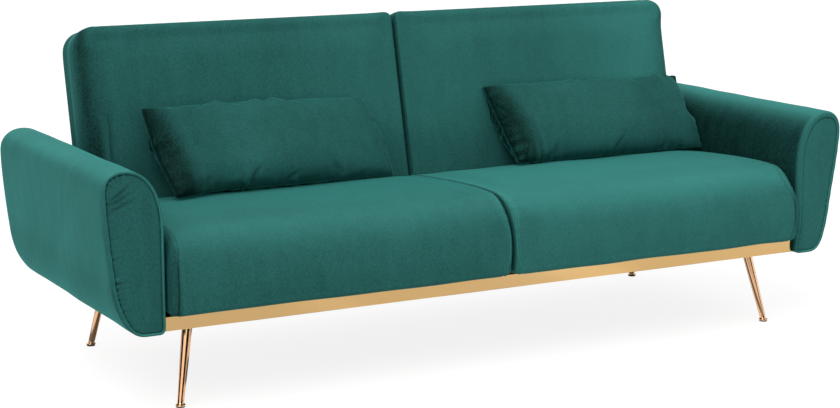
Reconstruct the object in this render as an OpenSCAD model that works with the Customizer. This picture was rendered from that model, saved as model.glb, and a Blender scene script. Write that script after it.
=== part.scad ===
// Split-back click-clack sofa bed: a timber base on four splayed metal legs, two sprung seats,
// two reclining backs on pinned hinges, two bolted arms and two loose lumbar pillows.
// Units are millimetres. The floor is z = 0 and the front faces -Y.

/* [Overall] */
// Clear width between the arms' inner faces
inner_w = 1870; // [1720:10:2250]
// Width of one arm
arm_w = 145; // [120:1:180]
// Depth of an arm, front to back
arm_d = 802; // [740:1:960]
// Height of the arm's top above the base's lower edge
arm_rise = 392; // [356:1:476]
// How far the arm's underside hangs below the base's lower edge
arm_drop = 4; // [1:1:20]
// How far the arm's front stands ahead of the trim
arm_lead = 15; // [5:1:30]

/* [Base] */
// Height of the trim's lower edge, and of the clear space below
leg_h = 204; // [180:1:250]
// Height of the gold trim band
trim_h = 36; // [30:1:48]
// Thickness of the trim's folded sheet
trim_t = 1.2; // [0.8:0.1:2]
// Depth of the trim's ledge and of the step in the front rail
ledge_d = 14; // [8:1:18]
// Thickness of the timber boards and rails
board_t = 25; // [20:1:30]
// Height of the riser boards that carry the springs
riser_h = 66; // [50:1:80]
// Distance from the trim's front to the back of the base
base_d = 715; // [690:1:780]

/* [Legs] */
// Diameter of a leg where it meets its plate
leg_top_d = 27; // [20:0.5:34]
// Diameter of a leg just above its foot
leg_foot_d = 16; // [12:0.5:20]
// Sideways and fore-and-aft lean of a leg over its height
leg_splay = 40; // [20:1:60]
// Distance from an arm's inner face in to a foot's centre
foot_inset = 55; // [40:1:120]
// Distance from the trim's front to a front foot's centre
foot_y = 50; // [35:1:70]
// Distance from the trim's front to a rear foot's centre
rear_foot_y = 700; // [640:1:760]
// Side of a leg's square mounting plate
plate_w = 76; // [60:1:84]

/* [Seat] */
// Gap between an arm and the seat cushion beside it
seat_side_gap = 7; // [4:1:10]
// Gap between the two seat cushions
seat_split = 6; // [4:1:12]
// Height of the seat's crown above the base's lower edge
seat_rise = 241; // [226:1:330]
// How far the seat's front bulges past the trim
seat_bulge = 43; // [30:1:55]
// Gap between the trim's ledge and the cushion
seat_lift = 3; // [2:1:8]
// Thickness of a cover with its wadding
skin = 10; // [8:1:12]
// Springs under each seat cushion
spring_count = 7; // [5:1:9]
// Thickness of the spring wire
wire_d = 3.6; // [3:0.1:4.5]

/* [Backs] */
// Distance from the trim's front to the hinge axis
pivot_y = 596; // [590:1:610]
// How far a flat back's face lies below the seat's crown
bed_step = 14; // [8:1:20]
// Recline of the backs from upright, in degrees
recline = 13.5; // [10:0.5:18]
// Distance from the hinge axis up to the back's top edge
back_len = 530; // [450:1:650]
// Distance from the hinge axis down to the back's lower edge
back_drop = 80; // [70:1:82]
// Thickness of a back
back_t = 128; // [115:1:135]
// Distance from the hinge axis to the back's front face
back_front = 101; // [96:1:104]
// Gap between an arm and the back beside it
back_side_gap = 11; // [10:1:16]
// Gap between the two backs
back_split = 10; // [8:1:16]
// Radius of a back's top corners
back_corner_r = 55; // [30:1:80]

/* [Hinges] */
// Diameter of a hinge pin
pin_d = 12; // [10:0.5:14]
// Radial clearance of a pin in its leaf
pin_fit = 0.05; // [0.02:0.01:0.1]
// Thickness of the hinge plates
hinge_t = 4; // [3:0.5:4]

/* [Arm fixings] */
// Diameter of an arm bolt
bolt_d = 8; // [6:1:8]

/* [Pillows] */
// Width of a lumbar pillow's body
pillow_w = 644; // [500:1:650]
// Height of a lumbar pillow's body
pillow_h = 228; // [200:1:232]
// Greatest thickness of a lumbar pillow
pillow_t = 120; // [90:1:122]
// Lean of a pillow from upright, in degrees
pillow_lean = 24; // [20:0.5:26]
// Gap between the left arm's inner face and the left pillow
pillow_left_gap = 176; // [15:1:200]
// Gap between the right arm's inner face and the right pillow
pillow_right_gap = 21; // [15:1:200]

/* [Hidden] */
$fn = 48;

VELVET = [0.03, 0.27, 0.23];
GOLD = [0.86, 0.66, 0.36];
ROSE_GOLD = [0.72, 0.46, 0.34];
TIMBER = [0.78, 0.62, 0.42];
PLY = [0.84, 0.72, 0.53];
FOAM = [0.93, 0.90, 0.80];
STEEL = [0.55, 0.56, 0.58];
BLACK = [0.08, 0.08, 0.09];

// the box's middle lies halfway between the seat's bulge and the arms' rear
arm_y0 = -arm_lead;
arm_y1 = arm_d - arm_lead;
middle_y = (arm_y1 - seat_bulge) / 2;

// heights
arm_top = leg_h + arm_rise;
arm_base = leg_h - arm_drop;
seat_top = leg_h + seat_rise;
rail_z0 = leg_h + 2;
rail_z1 = leg_h + trim_h;
riser_z1 = rail_z1 + riser_h;
seat_z0 = rail_z1 + seat_lift;
plate_t = 2.5;
glide_h = 3;
foot_h = 9;

// widths, all from the middle plane to the right
inner_x = inner_w / 2;
seat_x0 = seat_split / 2;
seat_x1 = inner_x - seat_side_gap;
side_x1 = seat_x1 - skin - 3;
side_x0 = side_x1 - board_t;
back_x0 = back_split / 2;
back_x1 = inner_x - back_side_gap;
riser_x0 = seat_x0 + skin + 3;
riser_t = 18;
centre_w = 2 * (riser_x0 + riser_t);

// depths, from the trim's front plane
rail_gap = 0.3;
front_y0 = trim_t + rail_gap;
riser_y0 = ledge_d + 1;
riser_y1 = riser_y0 + board_t;
rear_y0 = base_d - board_t;
pivot_z = seat_top - bed_step - back_front;
back_face_y = pivot_y - back_front * cos(recline);
back_face_z = pivot_z + back_front * sin(recline);
seat_gap = 15;
seat_rear_z = seat_top - 20;
seat_rear_y = back_face_y + (seat_rear_z - back_face_z) * tan(recline) - seat_gap + 1.5;
seat_heel_y = seat_rear_y - 42;
spring_y1 = seat_heel_y - skin;
spring_y0 = spring_y1 - board_t;
foam_lift = wire_d + 2.4;

// legs
foot_x = inner_x - foot_inset;
leg_x = foot_x - leg_splay;
leg_front_y = foot_y + leg_splay;
leg_rear_y = rear_foot_y - leg_splay;
screw_pitch = plate_w - 22;
screw_d = 4.5;
block_d = 95;
block_rim = 5;

// backs, in their own frame: the hinge axis is the origin and z runs up the back
back_rear = back_t - back_front;
heel_r = 45;
frame_y1 = back_rear - skin - 4;
frame_y0 = frame_y1 - 38;
leaf_t = 4;
stile_out_x1 = back_x1 - skin - 1 - leaf_t;
stile_in_x0 = back_x0 + skin + 1 + leaf_t;
stile_t = 24;
web_t = 2;
panel_t = 3;
pin_grip = skin + 1 + leaf_t + stile_t;

// hinge plates stand in the gap between an arm and a back
plate_x0 = back_x1 + 3;
head_t = 2.6;
plate_head_r = 24;
plate_half = 50;
foot_t = 4;
hinge_screw_pitch = 60;

// arms
wood_t = 18;
arm_pad = 24;
bolt_y = [200, 450];
bolt_z = (rail_z0 + rail_z1) / 2;
cleat_y = [150, 520];
bolt_play = 0.4;

// pillows
pillow_rim = 12;
pillow_y = 476;
pillow_z = seat_rear_z + 127;

function bezier(a, b, c, d, n = 8) = [
    for (i = [0 : n - 1])
        let (t = i / n, s = 1 - t)
            s * s * s * a + 3 * s * s * t * b + 3 * s * t * t * c + t * t * t * d
];

function arc(c, r, a0, a1, n = 6) = [
    for (i = [0 : n]) let (a = a0 + (a1 - a0) * i / n) c + r * [cos(a), sin(a)]
];

// a rectangle from p to q with its own radius at each corner, from bottom left, anticlockwise
function round_box(p, q, r) = concat(
    arc([p.x + r[0], p.y + r[0]], r[0], 180, 270),
    arc([q.x - r[1], p.y + r[1]], r[1], 270, 360),
    arc([q.x - r[2], q.y - r[2]], r[2], 0, 90),
    arc([p.x + r[3], q.y - r[3]], r[3], 90, 180)
);

// the arm's cross-section from the inner face outwards: straight inside, a bowed outer side
// that leans out as it rises, and a full rolled top
function arm_section() =
    let (
        foot = 12,
        belly = [inner_x + arm_w - 28, arm_base + 120],
        widest = [inner_x + arm_w, arm_top - 56],
        peak = [inner_x + arm_w * 0.64, arm_top],
        roll = [inner_x, arm_top - 143],
        heel = [inner_x + 50, arm_base]
    )
    concat(
        arc([inner_x + foot, arm_base + foot], foot, 180, 270, 4),
        bezier(heel, heel + [45, 0], belly - [8, 58], belly),
        bezier(belly, belly + [7, 60], widest - [0, 60], widest),
        bezier(widest, widest + [0, 40], peak + [32, 0], peak),
        bezier(peak, peak - [43, 0], roll + [1, 107], roll),
        [roll]
    );

// the seat cushion's side view: a full front, a low crown and a top that falls to the rear
function seat_section() =
    let (
        toe = 14,
        nose = [-seat_bulge, seat_z0 + toe],
        brow = [58, seat_top - 4],
        rear = [seat_rear_y - 14, seat_rear_z + 1],
        edge = [seat_rear_y, seat_rear_z - 14]
    )
    concat(
        [[seat_heel_y, seat_z0]],
        [for (p = arc([toe - seat_bulge, seat_z0 + toe], toe, 270, 180, 4)) p],
        bezier(nose, nose + [0, 93], brow - [92, 13], brow),
        bezier(brow, brow + [92, 9], [330, seat_rear_z + 15], rear),
        bezier(rear, rear + [8, -1], edge + [1, 8], edge, 4),
        [edge]
    );

module body() { translate([0, -middle_y, 0]) children(); }

module side(s) { mirror([s < 0 ? 1 : 0, 0, 0]) children(); }

module both() { for (s = [-1, 1]) side(s) children(); }

// an outline in y and z, drawn out along X from x0 to x1
module along_x(x0, x1) {
    translate([x0, 0, 0]) rotate([90, 0, 90]) linear_extrude(x1 - x0) children();
}

// an outline in x and z, drawn out along Y from y0 to y1
module along_y(y0, y1) {
    translate([0, y1, 0]) rotate([90, 0, 0]) linear_extrude(y1 - y0) children();
}

module block(p, q) { translate(p) cube(q - p); }

// a rod along X
module rod_x(x0, x1, d, y, z) {
    translate([x0, y, z]) rotate([0, 90, 0]) cylinder(h = x1 - x0, d = d);
}

module on_back(s) {
    side(s) translate([0, pivot_y, pivot_z]) rotate([-recline, 0, 0]) children();
}

// base frame

module front_rail() {
    color(TIMBER) body() difference() {
        block([-inner_x + 4, front_y0, rail_z0], [inner_x - 4, riser_y1, rail_z1]);
        block([-inner_x, -1, rail_z1 - trim_t - rail_gap], [inner_x, riser_y0 - 0.5, rail_z1 + 1]);
    }
}

module rear_rail() {
    color(TIMBER) body()
        block([-side_x1, rear_y0, rail_z0], [side_x1, base_d, rail_z0 + 58]);
}

module side_rail(s) {
    color(TIMBER) body() side(s) difference() {
        block([side_x0, riser_y1, rail_z0], [side_x1, rear_y0, rail_z1]);
        for (y = bolt_y) rod_x(side_x0 - 1, side_x1 + 1, bolt_d + bolt_play, y, bolt_z);
        hinge_screw_holes(side_x0 + screw_stop, side_x1 + 1);
    }
}

module side_rail_left() { side_rail(-1); }

module side_rail_right() { side_rail(1); }

module centre_rail() {
    color(TIMBER) body() difference() {
        block([-centre_w / 2, riser_y1, rail_z0], [centre_w / 2, rear_y0, rail_z1]);
        block(
            [-centre_foot_x, pivot_y - plate_half, rail_z1 - foot_t],
            [centre_foot_x, pivot_y + plate_half, rail_z1 + 1]
        );
        centre_foot_screws(5, rail_z0 + 6, rail_z1);
    }
}

module corner_blocks() {
    color(TIMBER) body() both() {
        corner_block(riser_y1, leg_front_y);
        corner_block(rear_y0 - block_d, leg_rear_y);
    }
}

module corner_block(y0, leg_y) {
    difference() {
        block(
            [leg_x - plate_w / 2 - block_rim, y0, rail_z0],
            [side_x0, y0 + block_d, rail_z1]
        );
        plate_screws(leg_y, screw_d, rail_z0 - 1, rail_z0 + 24);
    }
}

module front_riser() {
    color(TIMBER) body() both()
        block([riser_x0, riser_y0, rail_z1], [side_x1, riser_y1, riser_z1]);
}

module rear_riser() {
    color(TIMBER) body() both()
        block([riser_x0, spring_y0, rail_z1], [side_x1, spring_y1, riser_z1]);
}

module side_risers() {
    color(TIMBER) body() both() {
        block([side_x0, riser_y1, rail_z1], [side_x1, spring_y0, riser_z1]);
        block([riser_x0, riser_y1, rail_z1], [riser_x0 + riser_t, spring_y0, riser_z1]);
    }
}

// folded sheet: a front face, a ledge along its top and a return at each end
module base_trim() {
    x1 = inner_x - 2;
    color(GOLD) body() difference() {
        block([-x1, 0, leg_h], [x1, 30, rail_z1]);
        block([trim_t - x1, trim_t, leg_h - 1], [x1 - trim_t, 31, rail_z1 - trim_t]);
        block([trim_t - x1, ledge_d, rail_z1 - trim_t - 1], [x1 - trim_t, 31, rail_z1 + 1]);
    }
}

// legs

// the four screws of one leg plate, as cylinders from z0 to z1
module plate_screws(leg_y, d, z0, z1) {
    for (dx = [-1, 1], dy = [-1, 1])
        translate([leg_x + dx * screw_pitch / 2, leg_y + dy * screw_pitch / 2, z0])
            cylinder(h = z1 - z0, d = d);
}

// a tapered leg that leans from its foot to its plate, with a flared foot ring
module leg(s, foot_at, dir) {
    top_z = rail_z0 - plate_t;
    lean = norm([leg_splay, leg_splay]);
    slope = norm([lean, top_z]);
    color(ROSE_GOLD) body() side(s) intersection() {
        block([leg_x - 60, foot_at - 60, glide_h], [foot_x + 60, foot_at + 60, top_z]);
        translate([foot_x, foot_at, 0]) union() {
            rotate([0, 0, atan2(dir, -1)]) rotate([0, atan2(lean, top_z), 0])
                cylinder(h = slope + 20, d1 = leg_foot_d, d2 = leg_top_d);
            translate([0, 0, glide_h]) cylinder(h = foot_h - glide_h, d1 = 24, d2 = 18);
        }
    }
}

module leg_front_left() { leg(-1, foot_y, 1); }

module leg_front_right() { leg(1, foot_y, 1); }

module leg_rear_left() { leg(-1, rear_foot_y, -1); }

module leg_rear_right() { leg(1, rear_foot_y, -1); }

module leg_plates() {
    color(STEEL) body() both() for (y = [leg_front_y, leg_rear_y]) difference() {
        block(
            [leg_x - plate_w / 2, y - plate_w / 2, rail_z0 - plate_t],
            [leg_x + plate_w / 2, y + plate_w / 2, rail_z0]
        );
        plate_screws(y, screw_d + 0.5, rail_z0 - plate_t - 1, rail_z0 + 1);
    }
}

module leg_screws() {
    head_z = rail_z0 - plate_t;
    color(STEEL) body() both() for (y = [leg_front_y, leg_rear_y]) {
        plate_screws(y, screw_d, head_z - 1, rail_z0 + 22);
        plate_screws(y, 9, head_z - 2.2, head_z);
    }
}

module foot_glides() {
    color(BLACK) body() both() for (y = [foot_y, rear_foot_y])
        translate([foot_x, y, 0]) cylinder(h = glide_h, d = 22);
}

// thin sheet under the base, cut away round the leg plates
module dust_cover() {
    gap = 4;
    color(BLACK) body() difference() {
        block([-side_x0 + 1, riser_y1 + 1, leg_h + 0.6], [side_x0 - 1, rear_y0 - 1, rail_z0 - 0.2]);
        both() for (y = [leg_front_y, leg_rear_y]) {
            r = plate_w / 2 + gap;
            block([leg_x - r, y - r, leg_h], [inner_x, y + r, rail_z0 + 1]);
        }
    }
}

// seats

// a flat serpentine of wire, n waves over a length, both edges worked out from its slope
module serpentine(length, n, reach, w) {
    steps = n * 8;
    function at(i) = [reach * sin(45 * i), length * i / steps];
    function edge(i, off) =
        let (d = [reach * 6.2832 * n / length * cos(45 * i), 1], u = d / norm(d))
            at(i) + off * [u.y, -u.x];
    polygon(concat(
        [for (i = [0 : steps]) edge(i, w / 2)],
        [for (i = [steps : -1 : 0]) edge(i, -w / 2)]
    ));
}

spring_x0 = riser_x0 + riser_t;
spring_pitch = (side_x0 - spring_x0) / spring_count;
spring_seat = 10;

module at_springs() {
    for (i = [0 : spring_count - 1])
        translate([spring_x0 + (i + 0.5) * spring_pitch, 0, riser_z1]) children();
}

module seat_springs(s) {
    y0 = riser_y1 - spring_seat;
    color(STEEL) body() side(s) at_springs() translate([0, y0, 0])
        linear_extrude(wire_d) serpentine(spring_y0 + spring_seat - y0, 9, 22, wire_d);
}

module seat_springs_left() { seat_springs(-1); }

module seat_springs_right() { seat_springs(1); }

// the plates that hold each spring's ends down on the risers
module spring_clips() {
    color(STEEL) body() both() at_springs() for (y = [riser_y1 - 8, spring_y0 + 8])
        translate([-12, y - 7, wire_d]) cube([24, 14, 1.6]);
}

module seat_solid(inset) {
    along_x(seat_x0 + inset, seat_x1 - inset) offset(delta = -inset) polygon(seat_section());
}

module seat_foam(s) {
    color(FOAM) body() side(s) intersection() {
        seat_solid(skin + 0.2);
        union() {
            block([0, -seat_bulge, riser_z1 + foam_lift], [inner_x, pivot_y, seat_top + 40]);
            block([0, -seat_bulge, seat_z0], [inner_x, riser_y0 - 0.5, seat_top]);
        }
    }
}

module seat_foam_left() { seat_foam(-1); }

module seat_foam_right() { seat_foam(1); }

module seat_cover(s) {
    color(VELVET) body() side(s) difference() {
        seat_solid(0);
        seat_solid(skin);
        block(
            [seat_x0 + skin, riser_y0 - 0.5, seat_z0 - 1],
            [seat_x1 - skin, spring_y1 + 1, seat_z0 + 2 * skin]
        );
    }
}

module seat_cover_left() { seat_cover(-1); }

module seat_cover_right() { seat_cover(1); }

// arms

module arm_solid(inset) {
    intersection() {
        along_y(arm_y0 + inset, arm_y1 - inset) offset(delta = -inset) polygon(arm_section());
        along_x(inner_x - 1, inner_x + arm_w + 1) polygon(round_box(
            [arm_y0 + inset, arm_base + inset], [arm_y1 - inset, arm_top - inset],
            [8, 34, 30, 6]
        ));
    }
}

module arm_bolt_holes(x0, x1, d) { for (y = bolt_y) rod_x(x0, x1, d, y, bolt_z); }

board_x1 = inner_x + skin + wood_t;

module arm_board_solid() {
    block(
        [inner_x + skin + 0.2, arm_y0 + 30, arm_base + skin + 5],
        [board_x1, arm_y1 - 30, arm_top - skin - 136]
    );
}

module arm_board(s) {
    color(PLY) body() side(s) difference() {
        arm_board_solid();
        arm_bolt_holes(inner_x, board_x1 + 1, bolt_d + bolt_play);
    }
}

module arm_board_left() { arm_board(-1); }

module arm_board_right() { arm_board(1); }

// three profiled ribs that the foam wraps round
module arm_ribs(s) {
    rib_y = [arm_y0 + 38, (bolt_y[0] + bolt_y[1] - wood_t) / 2, arm_y1 - 38 - wood_t];
    color(PLY) body() side(s) for (y = rib_y) difference() {
        along_y(y, y + wood_t) offset(delta = -arm_pad) polygon(arm_section());
        block([inner_x, y - 1, arm_base], [board_x1 + 0.2, y + wood_t + 1, arm_top]);
    }
}

module arm_ribs_left() { arm_ribs(-1); }

module arm_ribs_right() { arm_ribs(1); }

module arm_foam(s) {
    color(FOAM) body() side(s) difference() {
        arm_solid(skin + 0.2);
        along_y(arm_y0 + arm_pad, arm_y1 - arm_pad)
            offset(delta = 0.2 - arm_pad) polygon(arm_section());
        block(
            [inner_x, arm_y0 + 29.8, arm_base + skin + 2],
            [board_x1 + 7, arm_y1 - 29.8, arm_top - skin - 135.8]
        );
    }
}

module arm_foam_left() { arm_foam(-1); }

module arm_foam_right() { arm_foam(1); }

module arm_cover(s) {
    color(VELVET) body() side(s) difference() {
        arm_solid(0);
        arm_solid(skin);
        arm_bolt_holes(inner_x - 1, inner_x + skin + 2, bolt_d + 4);
    }
}

module arm_cover_left() { arm_cover(-1); }

module arm_cover_right() { arm_cover(1); }

// hexagon bolts from inside the side rail, each with its washer and its nut in the arm's board
module arm_bolts(s) {
    color(STEEL) body() side(s) {
        arm_bolt_holes(side_x0 - 1, board_x1 + 5, bolt_d);
        arm_bolt_holes(side_x0 - 1.6, side_x0, 2.2 * bolt_d);
        for (y = bolt_y) {
            translate([side_x0 - 7, y, bolt_z]) rotate([0, 90, 0])
                cylinder(h = 6, d = 1.8 * bolt_d, $fn = 6);
            rod_x(board_x1, board_x1 + 1.5, 2 * bolt_d, y, bolt_z);
        }
    }
}

module arm_bolts_left() { arm_bolts(-1); }

module arm_bolts_right() { arm_bolts(1); }

module arm_cleats() {
    color(TIMBER) body() both() difference() {
        block([side_x1, cleat_y[0], rail_z0], [inner_x - 0.5, cleat_y[1], rail_z1]);
        arm_bolt_holes(side_x1 - 1, inner_x, bolt_d + bolt_play);
    }
}

// hinges

centre_foot_x = 28;
screw_stop = 4;

module hinge_screw_holes(x0, x1, d = 8.4) {
    for (dy = [-1, 1]) rod_x(x0, x1, d, pivot_y + dy * hinge_screw_pitch / 2, bolt_z);
}

module hinge_blocks() {
    color(TIMBER) body() both() difference() {
        block(
            [side_x1, pivot_y - plate_half - 5, rail_z0],
            [plate_x0, pivot_y + plate_half + 5, rail_z1]
        );
        hinge_screw_holes(side_x1 - 1, plate_x0 + 1);
    }
}

// the standing plate's outline: a wide foot, shoulders and a round head at the pin
module plate_outline(z0) {
    shoulder = rail_z1 + 14;
    difference() {
        union() {
            polygon([
                [pivot_y - plate_half, z0], [pivot_y + plate_half, z0],
                [pivot_y + plate_half, shoulder - 14], [pivot_y + plate_head_r, shoulder + 20],
                [pivot_y + plate_head_r, pivot_z], [pivot_y - plate_head_r, pivot_z],
                [pivot_y - plate_head_r, shoulder + 20], [pivot_y - plate_half, shoulder - 14]
            ]);
            translate([pivot_y, pivot_z]) circle(r = plate_head_r);
        }
        translate([pivot_y, pivot_z]) circle(d = pin_d);
    }
}

module hinge_plate(s) {
    color(STEEL) body() side(s) difference() {
        along_x(plate_x0, plate_x0 + hinge_t) plate_outline(rail_z0 + 4);
        hinge_screw_holes(plate_x0 - 1, plate_x0 + hinge_t + 1);
    }
}

module hinge_plate_left() { hinge_plate(-1); }

module hinge_plate_right() { hinge_plate(1); }

module hinge_plate_centre() {
    foot_z = rail_z1 - foot_t;
    color(STEEL) body() difference() {
        union() {
            along_x(-hinge_t / 2, hinge_t / 2) plate_outline(foot_z);
            block(
                [-centre_foot_x, pivot_y - plate_half, foot_z],
                [centre_foot_x, pivot_y + plate_half, rail_z1]
            );
        }
        centre_foot_screws(5.5, foot_z - 1, rail_z1 + 1);
    }
}

module centre_foot_screws(d, z0, z1) {
    for (sx = [-1, 1], sy = [-1, 1])
        translate([sx * 15, pivot_y + sy * (plate_half - 12), z0]) cylinder(h = z1 - z0, d = d);
}

// coach screws through the outer plates and blocks into the side rails, and the centre foot's four
module hinge_screws() {
    color(STEEL) body() {
        both() {
            hinge_screw_holes(side_x0 + screw_stop, plate_x0 + hinge_t, 8);
            hinge_screw_holes(plate_x0 + hinge_t, plate_x0 + hinge_t + head_t, 15);
        }
        centre_foot_screws(5, rail_z0 + 6, rail_z1);
        centre_foot_screws(9, rail_z1, rail_z1 + 1.5);
    }
}

// one pin at each outer end, and one through the centre plate into both backs
module hinge_pins() {
    x0 = plate_x0 - 3 - pin_grip + 2;
    color(STEEL) body() {
        both() {
            rod_x(x0, plate_x0 + hinge_t, pin_d, pivot_y, pivot_z);
            rod_x(plate_x0 + hinge_t, plate_x0 + hinge_t + head_t, pin_d + 8, pivot_y, pivot_z);
        }
        grip = back_x0 + pin_grip - 2;
        rod_x(-grip, grip, pin_d, pivot_y, pivot_z);
    }
}

// backs, drawn upright about the hinge axis

module back_solid(inset) {
    z0 = -back_drop + inset;
    z1 = back_len - inset;
    r = back_corner_r;
    intersection() {
        along_y(-back_front + inset, back_rear - inset) polygon(round_box(
            [back_x0 + inset, z0], [back_x1 - inset, z1], [10, 10, r, 16]
        ));
        along_x(back_x0 - 1, back_x1 + 1) polygon(round_box(
            [-back_front + inset, z0], [back_rear - inset, z1],
            [heel_r - inset / 2, 16, 22, 30]
        ));
    }
}

module pin_hole(x0, x1, d) { rod_x(x0, x1, d, 0, 0); }

module back_stiles(s) {
    z0 = -back_drop + skin + 6;
    z1 = back_len - back_corner_r;
    color(TIMBER) body() on_back(s) difference() {
        union() {
            block([stile_in_x0, frame_y0, z0], [stile_in_x0 + stile_t, frame_y1, z1]);
            block([stile_out_x1 - stile_t, frame_y0, z0], [stile_out_x1, frame_y1, z1]);
        }
        pin_hole(0, inner_x, pin_d + 1);
    }
}

module back_stiles_left() { back_stiles(-1); }

module back_stiles_right() { back_stiles(1); }

module back_rails(s) {
    color(TIMBER) body() on_back(s)
        for (z = [-back_drop + skin + 6, (back_len - back_drop) / 2, back_len - back_corner_r - 32])
            block(
                [stile_in_x0 + stile_t, frame_y0, z],
                [stile_out_x1 - stile_t, frame_y1, z + 32]
            );
}

module back_rails_left() { back_rails(-1); }

module back_rails_right() { back_rails(1); }

// elastic straps tacked across the stiles' front faces
module back_webbing(s) {
    z0 = -back_drop + skin + 30;
    z1 = back_len - back_corner_r - 10;
    strap_w = 50;
    pitch = (z1 - z0 - strap_w) / 5;
    color(BLACK) body() on_back(s) for (i = [0 : 5])
        block(
            [stile_in_x0 + 2, frame_y0 - web_t, z0 + i * pitch],
            [stile_out_x1 - 2, frame_y0, z0 + i * pitch + strap_w]
        );
}

module back_webbing_left() { back_webbing(-1); }

module back_webbing_right() { back_webbing(1); }

module back_panel(s) {
    color(PLY) body() on_back(s)
        block(
            [stile_in_x0, frame_y1, -back_drop + skin + 18],
            [stile_out_x1, frame_y1 + panel_t, back_len - back_corner_r]
        );
}

module back_panel_left() { back_panel(-1); }

module back_panel_right() { back_panel(1); }

module back_foam(s) {
    color(FOAM) body() on_back(s) intersection() {
        back_solid(skin + 0.2);
        block([0, -back_front, -back_drop], [inner_x, frame_y0 - web_t - 0.2, back_len]);
    }
}

module back_foam_left() { back_foam(-1); }

module back_foam_right() { back_foam(1); }

module back_cover(s) {
    color(VELVET) body() on_back(s) difference() {
        back_solid(0);
        back_solid(skin);
        pin_hole(back_x0 - 1, back_x0 + skin + 1, pin_d + 2);
        pin_hole(back_x1 - skin - 1, back_x1 + 1, pin_d + 2);
    }
}

module back_cover_left() { back_cover(-1); }

module back_cover_right() { back_cover(1); }

// steel leaves on the stiles that turn on the pins
module hinge_leaves(s) {
    color(STEEL) body() on_back(s) for (x = [stile_in_x0 - leaf_t, stile_out_x1])
        difference() {
            block([x, frame_y0 + 1, -48], [x + leaf_t, frame_y1 - 1, 120]);
            pin_hole(x - 1, x + leaf_t + 1, pin_d + 2 * pin_fit);
        }
}

module hinge_leaves_left() { hinge_leaves(-1); }

module hinge_leaves_right() { hinge_leaves(1); }

// pillows

// a knife-edged lumbar pillow: a full middle that falls to a thin rim
module pillow_solid(inset) {
    w = pillow_w - 2 * inset;
    h = pillow_h - 2 * inset;
    hull() {
        translate([-w / 2, -pillow_rim / 2 + inset / 2, -h / 2])
            cube([w, pillow_rim - inset, h]);
        translate([-w * 0.38, -pillow_t * 0.38 + inset, -h * 0.3])
            cube([w * 0.76, pillow_t * 0.76 - 2 * inset, h * 0.6]);
        translate([-w * 0.28, -pillow_t / 2 + inset, -h * 0.14])
            cube([w * 0.56, pillow_t - 2 * inset, h * 0.28]);
    }
}

module at_pillow(s, gap) {
    side(s) translate([inner_x - gap - pillow_w / 2, pillow_y, pillow_z]) rotate([-pillow_lean, 0, 0]) children();
}

module pillow_cover(s, gap) {
    color(VELVET) body() at_pillow(s, gap) difference() {
        pillow_solid(0);
        pillow_solid(3);
    }
}

module pillow_cover_left() { pillow_cover(-1, pillow_left_gap); }

module pillow_cover_right() { pillow_cover(1, pillow_right_gap); }

module pillow_insert(s, gap) {
    color(FOAM) body() at_pillow(s, gap) pillow_solid(3.4);
}

module pillow_insert_left() { pillow_insert(-1, pillow_left_gap); }

module pillow_insert_right() { pillow_insert(1, pillow_right_gap); }

front_rail();
rear_rail();
side_rail_left();
side_rail_right();
centre_rail();
corner_blocks();
front_riser();
rear_riser();
side_risers();
base_trim();
leg_front_left();
leg_front_right();
leg_rear_left();
leg_rear_right();
leg_plates();
leg_screws();
foot_glides();
dust_cover();
seat_springs_left();
seat_springs_right();
spring_clips();
seat_foam_left();
seat_foam_right();
seat_cover_left();
seat_cover_right();
arm_board_left();
arm_board_right();
arm_ribs_left();
arm_ribs_right();
arm_foam_left();
arm_foam_right();
arm_cover_left();
arm_cover_right();
arm_bolts_left();
arm_bolts_right();
arm_cleats();
hinge_blocks();
hinge_plate_left();
hinge_plate_centre();
hinge_plate_right();
hinge_screws();
hinge_pins();
back_stiles_left();
back_stiles_right();
back_rails_left();
back_rails_right();
back_webbing_left();
back_webbing_right();
back_panel_left();
back_panel_right();
back_foam_left();
back_foam_right();
back_cover_left();
back_cover_right();
hinge_leaves_left();
hinge_leaves_right();
pillow_cover_left();
pillow_cover_right();
pillow_insert_left();
pillow_insert_right();
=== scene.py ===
import math
import time

import bmesh
import bpy
import numpy as np
from mathutils import Matrix, Vector
from mathutils.bvhtree import BVHTree
from mathutils.kdtree import KDTree


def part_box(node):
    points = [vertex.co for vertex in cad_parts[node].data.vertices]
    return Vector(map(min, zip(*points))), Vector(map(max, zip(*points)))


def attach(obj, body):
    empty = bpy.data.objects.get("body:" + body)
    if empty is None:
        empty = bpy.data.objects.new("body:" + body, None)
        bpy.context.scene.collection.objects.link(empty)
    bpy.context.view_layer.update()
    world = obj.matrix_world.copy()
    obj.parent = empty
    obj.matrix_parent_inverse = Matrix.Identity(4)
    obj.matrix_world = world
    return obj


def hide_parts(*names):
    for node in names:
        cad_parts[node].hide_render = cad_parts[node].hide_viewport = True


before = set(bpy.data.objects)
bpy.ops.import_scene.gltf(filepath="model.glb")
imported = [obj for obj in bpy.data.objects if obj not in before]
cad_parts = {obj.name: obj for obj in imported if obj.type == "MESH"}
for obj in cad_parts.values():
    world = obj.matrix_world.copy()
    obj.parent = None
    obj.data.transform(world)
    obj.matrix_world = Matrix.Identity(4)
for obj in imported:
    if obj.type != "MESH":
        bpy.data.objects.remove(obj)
bpy.context.view_layer.update()
scene = bpy.context.scene
startTime = time.time()


def say(stage):
    print("sofa bed: %s, %.1f s" % (stage, time.time() - startTime))


# camera, floor, light

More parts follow.
